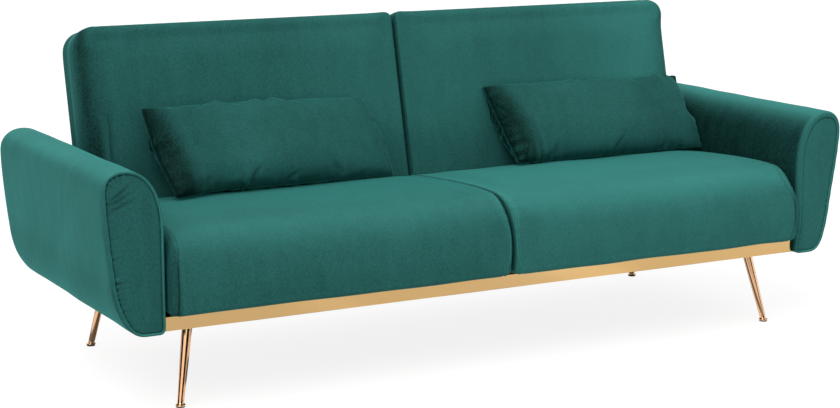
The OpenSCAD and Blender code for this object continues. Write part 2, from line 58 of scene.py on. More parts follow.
cameraSettings = {
    "lens": 83.05,
    "place": (-2.515, -4.5365, 1.350),
    "down": 10.78,   # degrees below level
    "turn": 28.52,   # degrees towards the right end of the sofa
}
cameraData = bpy.data.cameras.new("camera")
cameraData.lens = cameraSettings["lens"]
cameraData.sensor_width = 36
cameraData.clip_end = 200
camera = bpy.data.objects.new("camera", cameraData)
camera.location = cameraSettings["place"]
camera.rotation_euler = (
    math.radians(90 - cameraSettings["down"]), 0, math.radians(-cameraSettings["turn"]),
)
scene.collection.objects.link(camera)
scene.camera = camera
scene.view_settings.view_transform = "Standard"

lightSettings = {
    "skyStrength": 0.74,
    "skyLow": 0.30,          # darkest band of the surroundings
    "skyHigh": 1.25,
    "keyStrength": 1.35,     # a broad soft sun
    "keyFrom": (-0.50, -0.42, 0.86),
    "keySpread": 38,
    "floorColor": (0.22, 0.22, 0.22),
    "floorGlow": 0.84,
    "reflectGlow": 0.455,    # painted reflection: the floor's glow as polished metal sees it
    "reflectionCards": ((0.78, 0.14, 0.17), (-0.10, 0.10, 0.08)),      # painted reflection cards on the floor: place, half width, gain
    "bounceGlow": 0.55,      # and as cloth does
}


def addNode(tree, kind, **inputs):
    node = tree.nodes.new(kind)
    for name, value in inputs.items():
        node.inputs[name].default_value = value
    return node


def mathNode(tree, operation, a, b=None, c=None, clamp=False):
    node = tree.nodes.new("ShaderNodeMath")
    node.operation = operation
    node.use_clamp = clamp
    for i, value in enumerate((a, b, c)):
        if value is None:
            continue
        if isinstance(value, bpy.types.NodeSocket):
            tree.links.new(value, node.inputs[i])
        else:
            node.inputs[i].default_value = value
    return node.outputs[0]


def mixColor(tree, factor, a, b, blend="MIX"):
    node = tree.nodes.new("ShaderNodeMix")
    node.data_type = "RGBA"
    node.blend_type = blend
    for i, value in ((0, factor), (6, a), (7, b)):
        if isinstance(value, bpy.types.NodeSocket):
            tree.links.new(value, node.inputs[i])
        else:
            node.inputs[i].default_value = value
    return node.outputs[2]


def makeSky():
    world = bpy.data.worlds.new("studio")
    scene.world = world
    world.use_nodes = True
    tree = world.node_tree
    background = tree.nodes["Background"]
    direction = tree.nodes.new("ShaderNodeTexCoord").outputs["Generated"]
    split = tree.nodes.new("ShaderNodeSeparateXYZ")
    tree.links.new(direction, split.inputs[0])
    # soft boxes left and right with darker gaps between them, and a bright ceiling
    turn = mathNode(tree, "ARCTAN2", split.outputs[0], split.outputs[1])
    boxes = mathNode(tree, "SINE", mathNode(tree, "MULTIPLY_ADD", turn, 3.0, 0.6))
    level = mathNode(tree, "MULTIPLY_ADD", boxes, 0.5, 0.5)
    ceiling = mathNode(tree, "MULTIPLY", split.outputs[2], 1.6, clamp=True)
    level = mathNode(tree, "MAXIMUM", level, ceiling)
    low, high = lightSettings["skyLow"], lightSettings["skyHigh"]
    color = mixColor(tree, level, (low, low, low, 1), (high, high, high * 0.99, 1))
    # painted reflection: the polished tube sees narrower, harder cards than cloth does, and only glossy rays
    # see them
    reflectionCards = mathNode(
        tree, "MULTIPLY_ADD", mathNode(tree, "SINE", mathNode(tree, "MULTIPLY_ADD", turn, 3.0, 2.2)), 2.2,
        0.45, clamp=True,
    )
    reflectionCards = mixColor(tree, reflectionCards, (0.02, 0.02, 0.02, 1), (1.75, 1.72, 1.66, 1))
    glossy = tree.nodes.new("ShaderNodeLightPath").outputs["Is Glossy Ray"]
    color = mixColor(tree, glossy, color, reflectionCards)
    tree.links.new(color, background.inputs["Color"])
    background.inputs["Strength"].default_value = lightSettings["skyStrength"]


def makeKey():
    data = bpy.data.lights.new("key", "SUN")
    data.energy = lightSettings["keyStrength"]
    data.angle = math.radians(lightSettings["keySpread"])
    lamp = bpy.data.objects.new("key", data)
    lamp.rotation_euler = Vector(lightSettings["keyFrom"]).to_track_quat("Z", "Y").to_euler()
    scene.collection.objects.link(lamp)


def makeFloor():
    half = 60
    mesh = bpy.data.meshes.new("floor")
    z = -0.0003
    mesh.from_pydata(
        [(-half, -half, z), (half, -half, z), (half, half, z), (-half, half, z)], [], [(0, 1, 2, 3)]
    )
    floor = bpy.data.objects.new("floor", mesh)
    scene.collection.objects.link(floor)
    material = bpy.data.materials.new("paleFloor")
    material.use_nodes = True
    shader = material.node_tree.nodes["Principled BSDF"]
    shader.inputs["Base Color"].default_value = (*lightSettings["floorColor"], 1)
    shader.inputs["Roughness"].default_value = 0.9
    shader.inputs["Specular IOR Level"].default_value = 0.1
    shader.inputs["Emission Color"].default_value = (1, 1, 1, 1)
    tree = material.node_tree
    split = tree.nodes.new("ShaderNodeSeparateXYZ")
    tree.links.new(tree.nodes.new("ShaderNodeNewGeometry").outputs["Position"], split.inputs[0])
    x, y = split.outputs[0], split.outputs[1]
    # painted reflection: what polished metal sees, stripes near the feet and pale cards in front, glowing
    # only for glossy rays
    paintedStripe = mathNode(
        tree, "SINE", mathNode(tree, "MULTIPLY_ADD", x, 11.0, mathNode(tree, "MULTIPLY", y, 7.0)),
    )
    paintedStripe = mathNode(tree, "MULTIPLY_ADD", paintedStripe, 1.6, 0.5, clamp=True)
    paintedStripe = mathNode(tree, "MULTIPLY_ADD", paintedStripe, 0.80, 0.03)
    paintedCard = mathNode(tree, "MULTIPLY_ADD", x, 0.055, lightSettings["reflectGlow"])
    for middle, half, gain in lightSettings["reflectionCards"]:
        near = mathNode(
            tree, "SUBTRACT", half, mathNode(tree, "ABSOLUTE", mathNode(tree, "SUBTRACT", x, middle)),
        )
        paintedCard = mathNode(tree, "MULTIPLY_ADD", mathNode(tree, "MULTIPLY", near, 16.0, clamp=True), gain, paintedCard)
    ahead = mathNode(tree, "MULTIPLY", mathNode(tree, "SUBTRACT", -0.78, y), 6.0, clamp=True)
    paintedReflection = mathNode(
        tree, "ADD", mathNode(tree, "MULTIPLY", paintedCard, ahead),
        mathNode(tree, "MULTIPLY", paintedStripe, mathNode(tree, "SUBTRACT", 1.0, ahead)),
    )
    rays = tree.nodes.new("ShaderNodeLightPath").outputs
    glow = mathNode(tree, "MULTIPLY", rays["Is Camera Ray"], lightSettings["floorGlow"])
    glow = mathNode(tree, "MULTIPLY_ADD", rays["Is Glossy Ray"], paintedReflection, glow)
    glow = mathNode(tree, "MULTIPLY_ADD", rays["Is Diffuse Ray"], lightSettings["bounceGlow"], glow)
    tree.links.new(glow, shader.inputs["Emission Strength"])
    mesh.materials.append(material)


makeSky()
makeKey()
makeFloor()
say("camera and light")

# shader groups


def makeGroup(name, inputs, outputs):
    group = bpy.data.node_groups.new(name, "ShaderNodeTree")
    for label, kind, value in inputs:
        socket = group.interface.new_socket(name=label, in_out="INPUT", socket_type=kind)
        if value is not None:
            socket.default_value = value
    for label, kind in outputs:
        group.interface.new_socket(name=label, in_out="OUTPUT", socket_type=kind)
    return group, group.nodes.new("NodeGroupInput").outputs, group.nodes.new("NodeGroupOutput").inputs


def noiseNode(tree, vector, scale, detail=2.0, roughness=0.5, stretch=None):
    if stretch is not None:
        mapping = tree.nodes.new("ShaderNodeMapping")
        mapping.inputs["Scale"].default_value = stretch
        tree.links.new(vector, mapping.inputs["Vector"])
        vector = mapping.outputs[0]
    node = addNode(tree, "ShaderNodeTexNoise", Detail=detail, Roughness=roughness)
    tree.links.new(vector, node.inputs["Vector"])
    if isinstance(scale, bpy.types.NodeSocket):
        tree.links.new(scale, node.inputs["Scale"])
    else:
        node.inputs["Scale"].default_value = scale
    return node.outputs[0]


def groupVelvet():
    group, inp, out = makeGroup(
        "velvetPile",
        [("Vector", "NodeSocketVector", None), ("Nap", "NodeSocketFloat", 0.0),
         ("Seam", "NodeSocketFloat", 0.0), ("Mottle", "NodeSocketFloat", 0.5),
         ("Dark", "NodeSocketColor", (0, 0, 0, 1)), ("Light", "NodeSocketColor", (1, 1, 1, 1))],
        [("Color", "NodeSocketColor"), ("Roughness", "NodeSocketFloat"), ("Height", "NodeSocketFloat")],
    )
    point = inp["Vector"]
    broad = noiseNode(group, point, 5.0, 3.0, 0.55, (1.0, 1.0, 0.45))
    brushed = noiseNode(group, point, 34.0, 3.0, 0.6, (1.0, 1.0, 0.22))
    fine = noiseNode(group, point, 330.0, 2.0, 0.6, (1.0, 1.0, 0.6))
    pile = noiseNode(group, point, 2400.0, 1.0, 0.5)
    value = mathNode(group, "MULTIPLY_ADD", mathNode(group, "SUBTRACT", broad, 0.5), 0.26, 0.0)
    value = mathNode(group, "MULTIPLY_ADD", mathNode(group, "SUBTRACT", brushed, 0.5), 0.24, value)
    value = mathNode(group, "MULTIPLY_ADD", mathNode(group, "SUBTRACT", fine, 0.5), 0.80, value)
    value = mathNode(group, "MULTIPLY", value, inp["Mottle"])
    # painted light: the first mark adds painted shade and painted highlights mixed with random pile tone, the
    # seam mark adds painted seam highlights and shade
    value = mathNode(group, "ADD", value, mathNode(group, "MULTIPLY_ADD", inp["Nap"], 0.5, 0.5))
    value = mathNode(group, "MULTIPLY_ADD", inp["Seam"], 0.30, value, clamp=True)
    group.links.new(mixColor(group, value, inp["Dark"], inp["Light"]), out["Color"])
    rough = mathNode(group, "MULTIPLY_ADD", fine, 0.16, 0.66)
    group.links.new(rough, out["Roughness"])
    height = mathNode(group, "MULTIPLY_ADD", pile, 0.35, mathNode(group, "MULTIPLY", fine, 0.65))
    height = mathNode(group, "MULTIPLY_ADD", brushed, 0.6, height)
    group.links.new(height, out["Height"])
    return group


def groupHandled():
    # faint smears and hair scratches on polished sheet and tube
    group, inp, out = makeGroup(
        "handledMetal",
        [("Vector", "NodeSocketVector", None), ("Smear", "NodeSocketFloat", 0.1),
         ("Base", "NodeSocketFloat", 0.12), ("Color A", "NodeSocketColor", (1, 1, 1, 1)),
         ("Color B", "NodeSocketColor", (1, 1, 1, 1))],
        [("Color", "NodeSocketColor"), ("Roughness", "NodeSocketFloat"), ("Height", "NodeSocketFloat")],
    )
    point = inp["Vector"]
    smear = noiseNode(group, point, 22.0, 4.0, 0.6)
    hair = noiseNode(group, point, 300.0, 2.0, 0.5, (0.06, 1.0, 1.0))
    rough = mathNode(
        group, "MULTIPLY_ADD", mathNode(group, "SUBTRACT", smear, 0.5), inp["Smear"], inp["Base"],
    )
    rough = mathNode(group, "MULTIPLY_ADD", mathNode(group, "SUBTRACT", hair, 0.5), 0.06, rough, clamp=True)
    group.links.new(rough, out["Roughness"])
    wave = noiseNode(group, point, 6.5, 1.0, 0.4, (0.5, 1.0, 1.0))
    group.links.new(mixColor(group, wave, inp["Color A"], inp["Color B"]), out["Color"])
    group.links.new(mathNode(group, "MULTIPLY_ADD", hair, 0.02, wave), out["Height"])
    return group


def groupGrain():
    # sawn softwood: rings drawn out along one direction, with pores
    group, inp, out = makeGroup(
        "sawnGrain",
        [("Vector", "NodeSocketVector", None), ("Stretch", "NodeSocketVector", (0.06, 1.0, 1.0)),
         ("Scale", "NodeSocketFloat", 26.0), ("Dark", "NodeSocketColor", (0, 0, 0, 1)),
         ("Light", "NodeSocketColor", (1, 1, 1, 1))],
        [("Color", "NodeSocketColor"), ("Height", "NodeSocketFloat")],
    )
    mapping = group.nodes.new("ShaderNodeVectorMath")
    mapping.operation = "MULTIPLY"
    group.links.new(inp["Vector"], mapping.inputs[0])
    group.links.new(inp["Stretch"], mapping.inputs[1])
    bend = noiseNode(group, mapping.outputs[0], inp["Scale"], 4.0, 0.55)
    rings = mathNode(group, "FRACT", mathNode(group, "MULTIPLY", bend, 9.0))
    rings = mathNode(group, "PINGPONG", rings, 0.5)
    pores = noiseNode(group, mapping.outputs[0], 420.0, 2.0, 0.6)
    value = mathNode(
        group, "MULTIPLY_ADD", rings, 1.2, mathNode(group, "MULTIPLY_ADD", pores, 0.5, -0.25), clamp=True,
    )
    group.links.new(mixColor(group, value, inp["Dark"], inp["Light"]), out["Color"])
    group.links.new(value, out["Height"])
    return group


def groupCells():
    # open cells of foam, wadding and felted sheet
    group, inp, out = makeGroup(
        "openCells",
        [("Vector", "NodeSocketVector", None), ("Scale", "NodeSocketFloat", 500.0),
         ("Dark", "NodeSocketColor", (0, 0, 0, 1)), ("Light", "NodeSocketColor", (1, 1, 1, 1))],
        [("Color", "NodeSocketColor"), ("Height", "NodeSocketFloat")],
    )
    cells = group.nodes.new("ShaderNodeTexVoronoi")
    group.links.new(inp["Vector"], cells.inputs["Vector"])
    group.links.new(inp["Scale"], cells.inputs["Scale"])
    cloud = noiseNode(group, inp["Vector"], 12.0, 3.0, 0.6)
    value = mathNode(
        group, "MULTIPLY_ADD", cells.outputs["Distance"], 0.7, mathNode(group, "MULTIPLY", cloud, 0.4),
        clamp=True,
    )
    group.links.new(mixColor(group, value, inp["Dark"], inp["Light"]), out["Color"])
    group.links.new(cells.outputs["Distance"], out["Height"])
    return group


def groupWeave():
    group, inp, out = makeGroup(
        "wovenStrap",
        [("Vector", "NodeSocketVector", None), ("Pitch", "NodeSocketFloat", 400.0),
         ("Dark", "NodeSocketColor", (0, 0, 0, 1)), ("Light", "NodeSocketColor", (1, 1, 1, 1))],
        [("Color", "NodeSocketColor"), ("Height", "NodeSocketFloat")],
    )
    split = group.nodes.new("ShaderNodeSeparateXYZ")
    group.links.new(inp["Vector"], split.inputs[0])
    across = mathNode(group, "SINE", mathNode(group, "MULTIPLY", split.outputs[0], inp["Pitch"]))
    along = mathNode(
        group, "SINE",
        mathNode(group, "MULTIPLY", mathNode(group, "ADD", split.outputs[1], split.outputs[2]), inp["Pitch"]),
    )
    value = mathNode(group, "MULTIPLY_ADD", mathNode(group, "MULTIPLY", across, along), 0.5, 0.5)
    group.links.new(mixColor(group, value, inp["Dark"], inp["Light"]), out["Color"])
    group.links.new(value, out["Height"])
    return group


velvetPile = groupVelvet()
handledMetal = groupHandled()
sawnGrain = groupGrain()
openCells = groupCells()
wovenStrap = groupWeave()

# materials

finishes = {}


def startMaterial(name, **shaderValues):
    material = bpy.data.materials.new(name)
    material.use_nodes = True
    tree = material.node_tree
    shader = tree.nodes["Principled BSDF"]
    for label, value in shaderValues.items():
        shader.inputs[label.replace("_", " ")].default_value = value
    point = tree.nodes.new("ShaderNodeTexCoord").outputs["Object"]
    finishes[name] = material
    return tree, shader, point


def placeGroup(tree, group, point, **values):
    node = tree.nodes.new("ShaderNodeGroup")
    node.node_tree = group
    tree.links.new(point, node.inputs["Vector"])
    for label, value in values.items():
        node.inputs[label.replace("_", " ")].default_value = value
    return node


def bumpInto(tree, shader, height, strength, distance):
    bump = addNode(tree, "ShaderNodeBump", Strength=strength, Distance=distance)
    tree.links.new(height, bump.inputs["Height"])
    tree.links.new(bump.outputs[0], shader.inputs["Normal"])


velvetSettings = {
    "dark": (0.0016, 0.015, 0.0128, 1),
    "light": (0.046, 0.240, 0.218, 1),
    "sheen": 0.36,
    "sheenRoughness": 0.30,
    "sheenTint": (0.14, 0.95, 0.88, 1),
    "mottle": 0.62,
    "pileDepth": 0.0006,
}


def makeVelvet():
    v = velvetSettings
    tree, shader, point = startMaterial(
        "velvet", Sheen_Weight=v["sheen"], Sheen_Roughness=v["sheenRoughness"],
        Sheen_Tint=v["sheenTint"], Specular_IOR_Level=0.05,
    )
    pile = placeGroup(tree, velvetPile, point, Mottle=v["mottle"], Dark=v["dark"], Light=v["light"])
    # painted light: these marks carry painted shade and painted highlights mixed with random pile tone, and
    # painted seam highlights and shade
    for label in ("nap", "seam"):
        mark = tree.nodes.new("ShaderNodeAttribute")
        mark.attribute_name = label
        tree.links.new(mark.outputs["Fac"], pile.inputs[label.capitalize()])
    tree.links.new(pile.outputs["Color"], shader.inputs["Base Color"])
    tree.links.new(pile.outputs["Roughness"], shader.inputs["Roughness"])
    bumpInto(tree, shader, pile.outputs["Height"], 0.35, v["pileDepth"])


metalSettings = {
    "gold_trim": {"a": (0.80, 0.50, 0.19, 1), "b": (0.91, 0.60, 0.28, 1), "base": 0.13, "smear": 0.10,
        "wave": 0.0022},
    "rose_gold": {"a": (0.76, 0.42, 0.22, 1), "b": (0.86, 0.54, 0.33, 1), "base": 0.07, "smear": 0.06,
        "wave": 0.0},
    "zinc_steel": {"a": (0.48, 0.49, 0.50, 1), "b": (0.66, 0.66, 0.64, 1), "base": 0.34, "smear": 0.25,
        "wave": 0.0},
    "spring_wire": {"a": (0.30, 0.31, 0.33, 1), "b": (0.45, 0.46, 0.48, 1), "base": 0.30, "smear": 0.2,
        "wave": 0.0},
}


def makeMetals():
    for name, m in metalSettings.items():
        tree, shader, point = startMaterial(name, Metallic=1.0)
        skin = placeGroup(
            tree, handledMetal, point, Smear=m["smear"], Base=m["base"], Color_A=m["a"], Color_B=m["b"],
        )
        tree.links.new(skin.outputs["Color"], shader.inputs["Base Color"])
        tree.links.new(skin.outputs["Roughness"], shader.inputs["Roughness"])
        bumpInto(tree, shader, skin.outputs["Height"], 0.5, m["wave"] or 0.0004)


plainSettings = {
    "timber": {"group": sawnGrain, "dark": (0.36, 0.22, 0.11, 1), "light": (0.66, 0.47, 0.28, 1),
        "rough": 0.75, "depth": 0.0004,
               "values": {}},
    "plywood": {"group": sawnGrain, "dark": (0.45, 0.31, 0.17, 1), "light": (0.74, 0.58, 0.38, 1),
        "rough": 0.7, "depth": 0.0003,
                "values": {"Stretch": (1.0, 0.08, 1.0), "Scale": 14.0}},
    "foam": {"group": openCells, "dark": (0.60, 0.52, 0.36, 1), "light": (0.88, 0.82, 0.66, 1),
        "rough": 0.95, "depth": 0.0012,
             "values": {"Scale": 420.0}},
    "polyester_fill": {"group": openCells, "dark": (0.70, 0.70, 0.69, 1), "light": (0.92, 0.92, 0.90, 1),
        "rough": 0.95, "depth": 0.002,
                       "values": {"Scale": 160.0}},
    "webbing": {"group": wovenStrap, "dark": (0.02, 0.02, 0.022, 1), "light": (0.16, 0.15, 0.14, 1),
        "rough": 0.85, "depth": 0.0008,
                "values": {"Pitch": 1400.0}},
    "dust_cloth": {"group": openCells, "dark": (0.012, 0.012, 0.013, 1),
        "light": (0.045, 0.045, 0.047, 1), "rough": 0.9, "depth": 0.0005,
                   "values": {"Scale": 700.0}},
    "black_steel": {"group": openCells, "dark": (0.010, 0.010, 0.011, 1),
        "light": (0.030, 0.030, 0.032, 1), "rough": 0.42, "depth": 0.0001,
                    "values": {"Scale": 900.0}},
    "glide_plastic": {"group": openCells, "dark": (0.012, 0.011, 0.010, 1),
        "light": (0.035, 0.032, 0.030, 1), "rough": 0.5, "depth": 0.0001,
                      "values": {"Scale": 1200.0}},
}


def makePlain():
    for name, p in plainSettings.items():
        tree, shader, point = startMaterial(name, Roughness=p["rough"])
        skin = placeGroup(tree, p["group"], point, Dark=p["dark"], Light=p["light"], **p["values"])
        tree.links.new(skin.outputs["Color"], shader.inputs["Base Color"])
        bumpInto(tree, shader, skin.outputs["Height"], 0.6, p["depth"])


makeVelvet()
makeMetals()
makePlain()

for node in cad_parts.values():
    for place in node.material_slots:
        place.material = finishes[place.material.name.split(".")[0]]
say("materials")

# outlines and rings


def curve3(a, b, c, d, count=16):
    t = np.linspace(0, 1, count + 1)[:, None]
    s = 1 - t
    a, b, c, d = (np.array(p, float) for p in (a, b, c, d))
    return s**3 * a + 3 * s * s * t * b + 3 * s * t * t * c + t**3 * d


def arcOf(centre, radius, start, end, count=8):
    a = np.radians(np.linspace(start, end, count + 1))
    return np.array(centre) + radius * np.stack([np.cos(a), np.sin(a)], 1)


def evenly(points, count):
    points = np.array(points, float)
    run = np.r_[0, np.cumsum(np.linalg.norm(np.diff(points, axis=0), axis=1))]
    at = np.linspace(0, run[-1], count + 1)
    return np.stack([np.interp(at, run, points[:, i]) for i in range(points.shape[1])], 1)


def fourSides(outline, corners, counts):
    # cuts a closed outline at four corners, and spaces the points of each side evenly
    dense = evenly(np.vstack([outline, outline[:1]]), 1200)[:-1]
    at = [int(np.argmin(np.linalg.norm(dense - np.array(c), axis=1))) for c in corners]
    sides = []
    for i in range(4):
        a, b = at[i], at[(i + 1) % 4]
        order = np.arange(a, b + 1 if b > a else b + 1 + len(dense)) % len(dense)
        sides.append(evenly(dense[order], counts[i % 2])[:-1])
    return np.vstack(sides)


def inwardOf(loop, spread):
    # inward direction at each point of an anticlockwise loop, evened out along it
    along = np.roll(loop, -1, 0) - np.roll(loop, 1, 0)
    along /= np.linalg.norm(along, axis=1)[:, None]
    inward = np.stack([-along[:, 1], along[:, 0]], 1)
    for _ in range(spread):
        inward = (np.roll(inward, 1, 0) + 2 * inward + np.roll(inward, -1, 0)) / 4
    return inward / np.linalg.norm(inward, axis=1)[:, None]


def smoothLoop(values, times):
    for _ in range(times):
        values = (np.roll(values, 1) + 2 * values + np.roll(values, -1)) / 4
    return values


def capGrid(ring, counts):
    nu, nv = counts
    bottom, right = ring[: nu + 1], ring[nu : nu + nv + 1]
    top = ring[nu + nv : 2 * nu + nv + 1][::-1]
    left = np.vstack([ring[2 * nu + nv :], ring[:1]])[::-1]
    u = np.linspace(0, 1, nu + 1)[None, :, None]
    v = np.linspace(0, 1, nv + 1)[:, None, None]
    return (
        (1 - v) * bottom[None] + v * top[None] + (1 - u) * left[:, None] + u * right[:, None]
        - ((1 - u) * (1 - v) * bottom[0] + u * (1 - v) * bottom[-1] + (1 - u) * v * top[0] + u * v * top[-1])
    )


def ringMesh(name, rings, counts):
    # rings of points joined into a tube, with a grid over each end
    nu, nv = counts
    loopSize = 2 * (nu + nv)
    points = [np.array(r, float) for r in rings]
    faces = []
    for k in range(len(rings) - 1):
        for j in range(loopSize):
            n = (j + 1) % loopSize
            faces.append((k * loopSize + j, k * loopSize + n, (k + 1) * loopSize + n, (k + 1) * loopSize + j))
    total = len(rings) * loopSize
    for end, k in ((0, 0), (1, len(rings) - 1)):
        grid = capGrid(points[k], counts)
        index = -np.ones((nv + 1, nu + 1), int)
        ring = k * loopSize + np.arange(loopSize)
        index[0, : nu + 1] = ring[: nu + 1]
        index[: nv + 1, nu] = ring[nu : nu + nv + 1]
        index[nv, ::-1] = ring[nu + nv : 2 * nu + nv + 1]
        index[::-1, 0] = np.r_[ring[2 * nu + nv :], ring[:1]]
        inside = grid[1:-1, 1:-1].reshape(-1, 3)
        index[1:-1, 1:-1] = total + np.arange(len(inside)).reshape(nv - 1, nu - 1)
        total += len(inside)
        points.append(inside)
        for i in range(nv):
            for j in range(nu):
                quad = (index[i, j], index[i, j + 1], index[i + 1, j + 1], index[i + 1, j])
                faces.append(quad if end == 0 else quad[::-1])
    return meshObject(name, np.vstack(points), faces)


def meshObject(name, points, faces):
    mesh = bpy.data.meshes.new(name)
    mesh.from_pydata([tuple(p) for p in points], [], [tuple(int(i) for i in f) for f in faces])
    tidy = bmesh.new()
    tidy.from_mesh(mesh)
    bmesh.ops.remove_doubles(tidy, verts=tidy.verts, dist=1e-6)
    bmesh.ops.recalc_face_normals(tidy, faces=tidy.faces)
    if tidy.calc_volume(signed=True) < 0:
        bmesh.ops.reverse_faces(tidy, faces=tidy.faces)
    tidy.to_mesh(mesh)
    tidy.free()
    piece = bpy.data.objects.new(name, mesh)
    scene.collection.objects.link(piece)
    return piece


def pointsOf(piece):
    flat = np.empty(len(piece.data.vertices) * 3)
    piece.data.vertices.foreach_get("co", flat)
    return flat.reshape(-1, 3)


def setPoints(piece, points):
    piece.data.vertices.foreach_set("co", points.ravel())
    piece.data.update()


def normalsOf(piece):
    flat = np.empty(len(piece.data.vertices) * 3)
    piece.data.vertex_normals.foreach_get("vector", flat)
    return flat.reshape(-1, 3)


def setMark(piece, name, values):
    mark = piece.data.attributes.get(name) or piece.data.attributes.new(name, "FLOAT", "POINT")
    mark.data.foreach_set("value", np.clip(values, -1, 1).astype(np.float32))


def refine(piece):
    # one level of subdivision, made permanent
    modifier = piece.modifiers.new("refine", "SUBSURF")
    modifier.levels = modifier.render_levels = 1
    bpy.context.view_layer.update()
    evaluated = piece.evaluated_get(bpy.context.evaluated_depsgraph_get())
    mesh = bpy.data.meshes.new_from_object(evaluated)
    piece.modifiers.remove(modifier)
    old = piece.data
    piece.data = mesh
    bpy.data.meshes.remove(old)
    mesh.name = piece.name
    return piece


def nearLine(points, line, closed=False):
    # distance from a line, and how far along it the nearest point is
    line = np.array(line, float)
    if closed:
        line = np.vstack([line, line[:1]])
    run = np.linalg.norm(np.diff(line, axis=0), axis=1).sum()
    dense = evenly(line, max(8, int(run / 0.002)))
    tree = KDTree(len(dense))
    for i, p in enumerate(dense):
        tree.insert(p, i)
    tree.balance()
    away, along = np.empty(len(points)), np.empty(len(points))
    for i, p in enumerate(points):
        _, index, distance = tree.find(p)
        away[i], along[i] = distance, index * run / (len(dense) - 1)
    return away, along


def wander(values, seed, rough=3):
    # a smooth made-up wave between -1 and 1 along one number
    rng = np.random.default_rng(seed)
    total = 0
    for i in range(rough):
        total = total + np.sin(values * rng.uniform(0.6, 1.6) * (i + 1) + rng.uniform(0, 6.28)) / (i + 1)
    return total / 1.8


def bellOf(x, middle, width):
    return np.exp(-(((x - middle) / width) ** 2))


def stepOf(x, start, end):
    t = np.clip((x - start) / (end - start), 0, 1)
    return t * t * (3 - 2 * t)


swellSettings = {"pressure": 4.0, "frames": 6, "most": 0.011}      # seats and backs


def inflate(piece, pressure, frames, most, hold=None, stiff=18.0, bend=0.8, grow=0.0):
    # cloth blown up from inside; hold is how firmly each point is kept, 0 to 1
    start = pointsOf(piece)
    modifier = piece.modifiers.new("cloth", "CLOTH")
    cloth = modifier.settings
    cloth.quality = 4
    cloth.mass = 0.3
    cloth.tension_stiffness = cloth.compression_stiffness = stiff
    cloth.shear_stiffness = stiff * 0.4
    cloth.bending_stiffness = bend
    cloth.air_damping = 6
    cloth.use_pressure = True
    cloth.uniform_pressure_force = pressure
    cloth.effector_weights.gravity = 0
    cloth.shrink_min = -grow
    modifier.collision_settings.use_collision = False
    modifier.collision_settings.use_self_collision = False
    if hold is not None:
        group = piece.vertex_groups.new(name="hold")
        for i in np.nonzero(hold > 0.02)[0]:
            group.add([int(i)], float(hold[i]), "REPLACE")
        cloth.vertex_group_mass = "hold"
    modifier.point_cache.frame_start = 1
    modifier.point_cache.frame_end = frames
    for step in range(1, frames + 1):
        scene.frame_set(step)
    evaluated = piece.evaluated_get(bpy.context.evaluated_depsgraph_get())
    flat = np.empty(len(start) * 3)
    evaluated.data.vertices.foreach_get("co", flat)
    move = flat.reshape(-1, 3) - start
    size = np.linalg.norm(move, axis=1)
    move *= (np.minimum(size, most) / np.maximum(size, 1e-9))[:, None]
    piece.modifiers.remove(modifier)
    if hold is not None:
        piece.vertex_groups.remove(group)
    scene.frame_set(1)
    setPoints(piece, start + move)


def swell(piece, free, sunk):
    # starts a little sunken where it is free to move, and fills out from there
    setPoints(piece, pointsOf(piece) - normalsOf(piece) * (sunk * free)[:, None])
    inflate(piece, **swellSettings, hold=1 - 0.97 * free)
    refine(piece)
    return pointsOf(piece), normalsOf(piece)


def ringMaker(loop, inward, axis):
    # rings of a loop, drawn inwards by an inset, at a place along one axis
    def ring(inset, place):
        at = loop + inward * np.broadcast_to(inset, (len(loop),))[:, None]
        return np.insert(at, axis, np.broadcast_to(place, (len(loop),)), axis=1)
    return ring


def rollRings(ring, angles, inset, depth, plane, way, start=0.0):
    # a rounded edge, from the flat face at 90 degrees to the side at 0
    return [
        ring(start + inset * (1 - math.cos(turn)), plane + way * depth * (1 - math.sin(turn)))
        for turn in map(math.radians, angles)
    ]


sideWord = {-1: "left", 1: "right"}
shells = {}     # finished covers, for what has to stay inside them


def finishPiece(piece, body, slot, *nodes, fill=None):
    piece.data.polygons.foreach_set("use_smooth", [True] * len(piece.data.polygons))
    piece.data.materials.clear()
    piece.data.materials.append(finishes[slot])
    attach(piece, body)
    if nodes:
        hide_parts(*nodes)
        if "cover" in nodes[0]:
            shells[nodes[0]] = BVHTree.FromPolygons(
                [v.co for v in piece.data.vertices],
                [f.vertices[:] for f in piece.data.polygons],
            )
    say(piece.name)


def finishCover(piece, side, points, nap, seam, body, node, fill):
    setPoints(piece, points)
    if side < 0:
        piece.data.flip_normals()
    setMark(piece, "nap", nap)
    setMark(piece, "seam", seam)
    finishPiece(piece, body, "velvet", node, fill=fill)


# arms

armSettings = {
    "counts": (20, 46),
    "frontRoll": 0.010,      # width of the soft edge before the front seam, outer side
    "frontRollInner": 0.005,
    "rearRoll": 0.030, "rearRollSide": 0.012,
    "fuller": {-1: 0.014, 1: -0.001},    # how far the two arms' outer sides belly
    "wider": {-1: 0.005, 1: 0.0},
    "seamDepth": 0.0032,
    "frontInset": 0.0022,
    "crown": 0.005,
    "gather": 0.0021,
    "creaseShade": 0.45,         # how much painted shade goes into the gathers and folds
    "stations": 74,
}


def armOutline(low, high, fuller, wider):
    # cross-section from the inner face outwards, x from the middle, z up
    inner, outer, base, top = low.x, high.x, low.z, high.z
    belly, widest = (outer - 0.028 + fuller, base + 0.120), (outer + wider, top - 0.056)
    peak, roll, heel = (inner + (outer - inner) * 0.64, top), (inner, top - 0.143), (inner + 0.050, base)
    return np.vstack([
        arcOf((inner + 0.014, base + 0.014), 0.014, 180, 270, 6),
        curve3(heel, (heel[0] + 0.045, base), (belly[0] - 0.008, belly[1] - 0.058), belly),
        curve3(belly, (belly[0] + 0.007, belly[1] + 0.060), (widest[0], widest[1] - 0.060), widest)[1:],
        curve3(widest, (widest[0], widest[1] + 0.040), (peak[0] + 0.032, top), peak)[1:],
        curve3(peak, (peak[0] - 0.043, top), (roll[0] + 0.001, roll[1] + 0.107), roll)[1:],
    ])


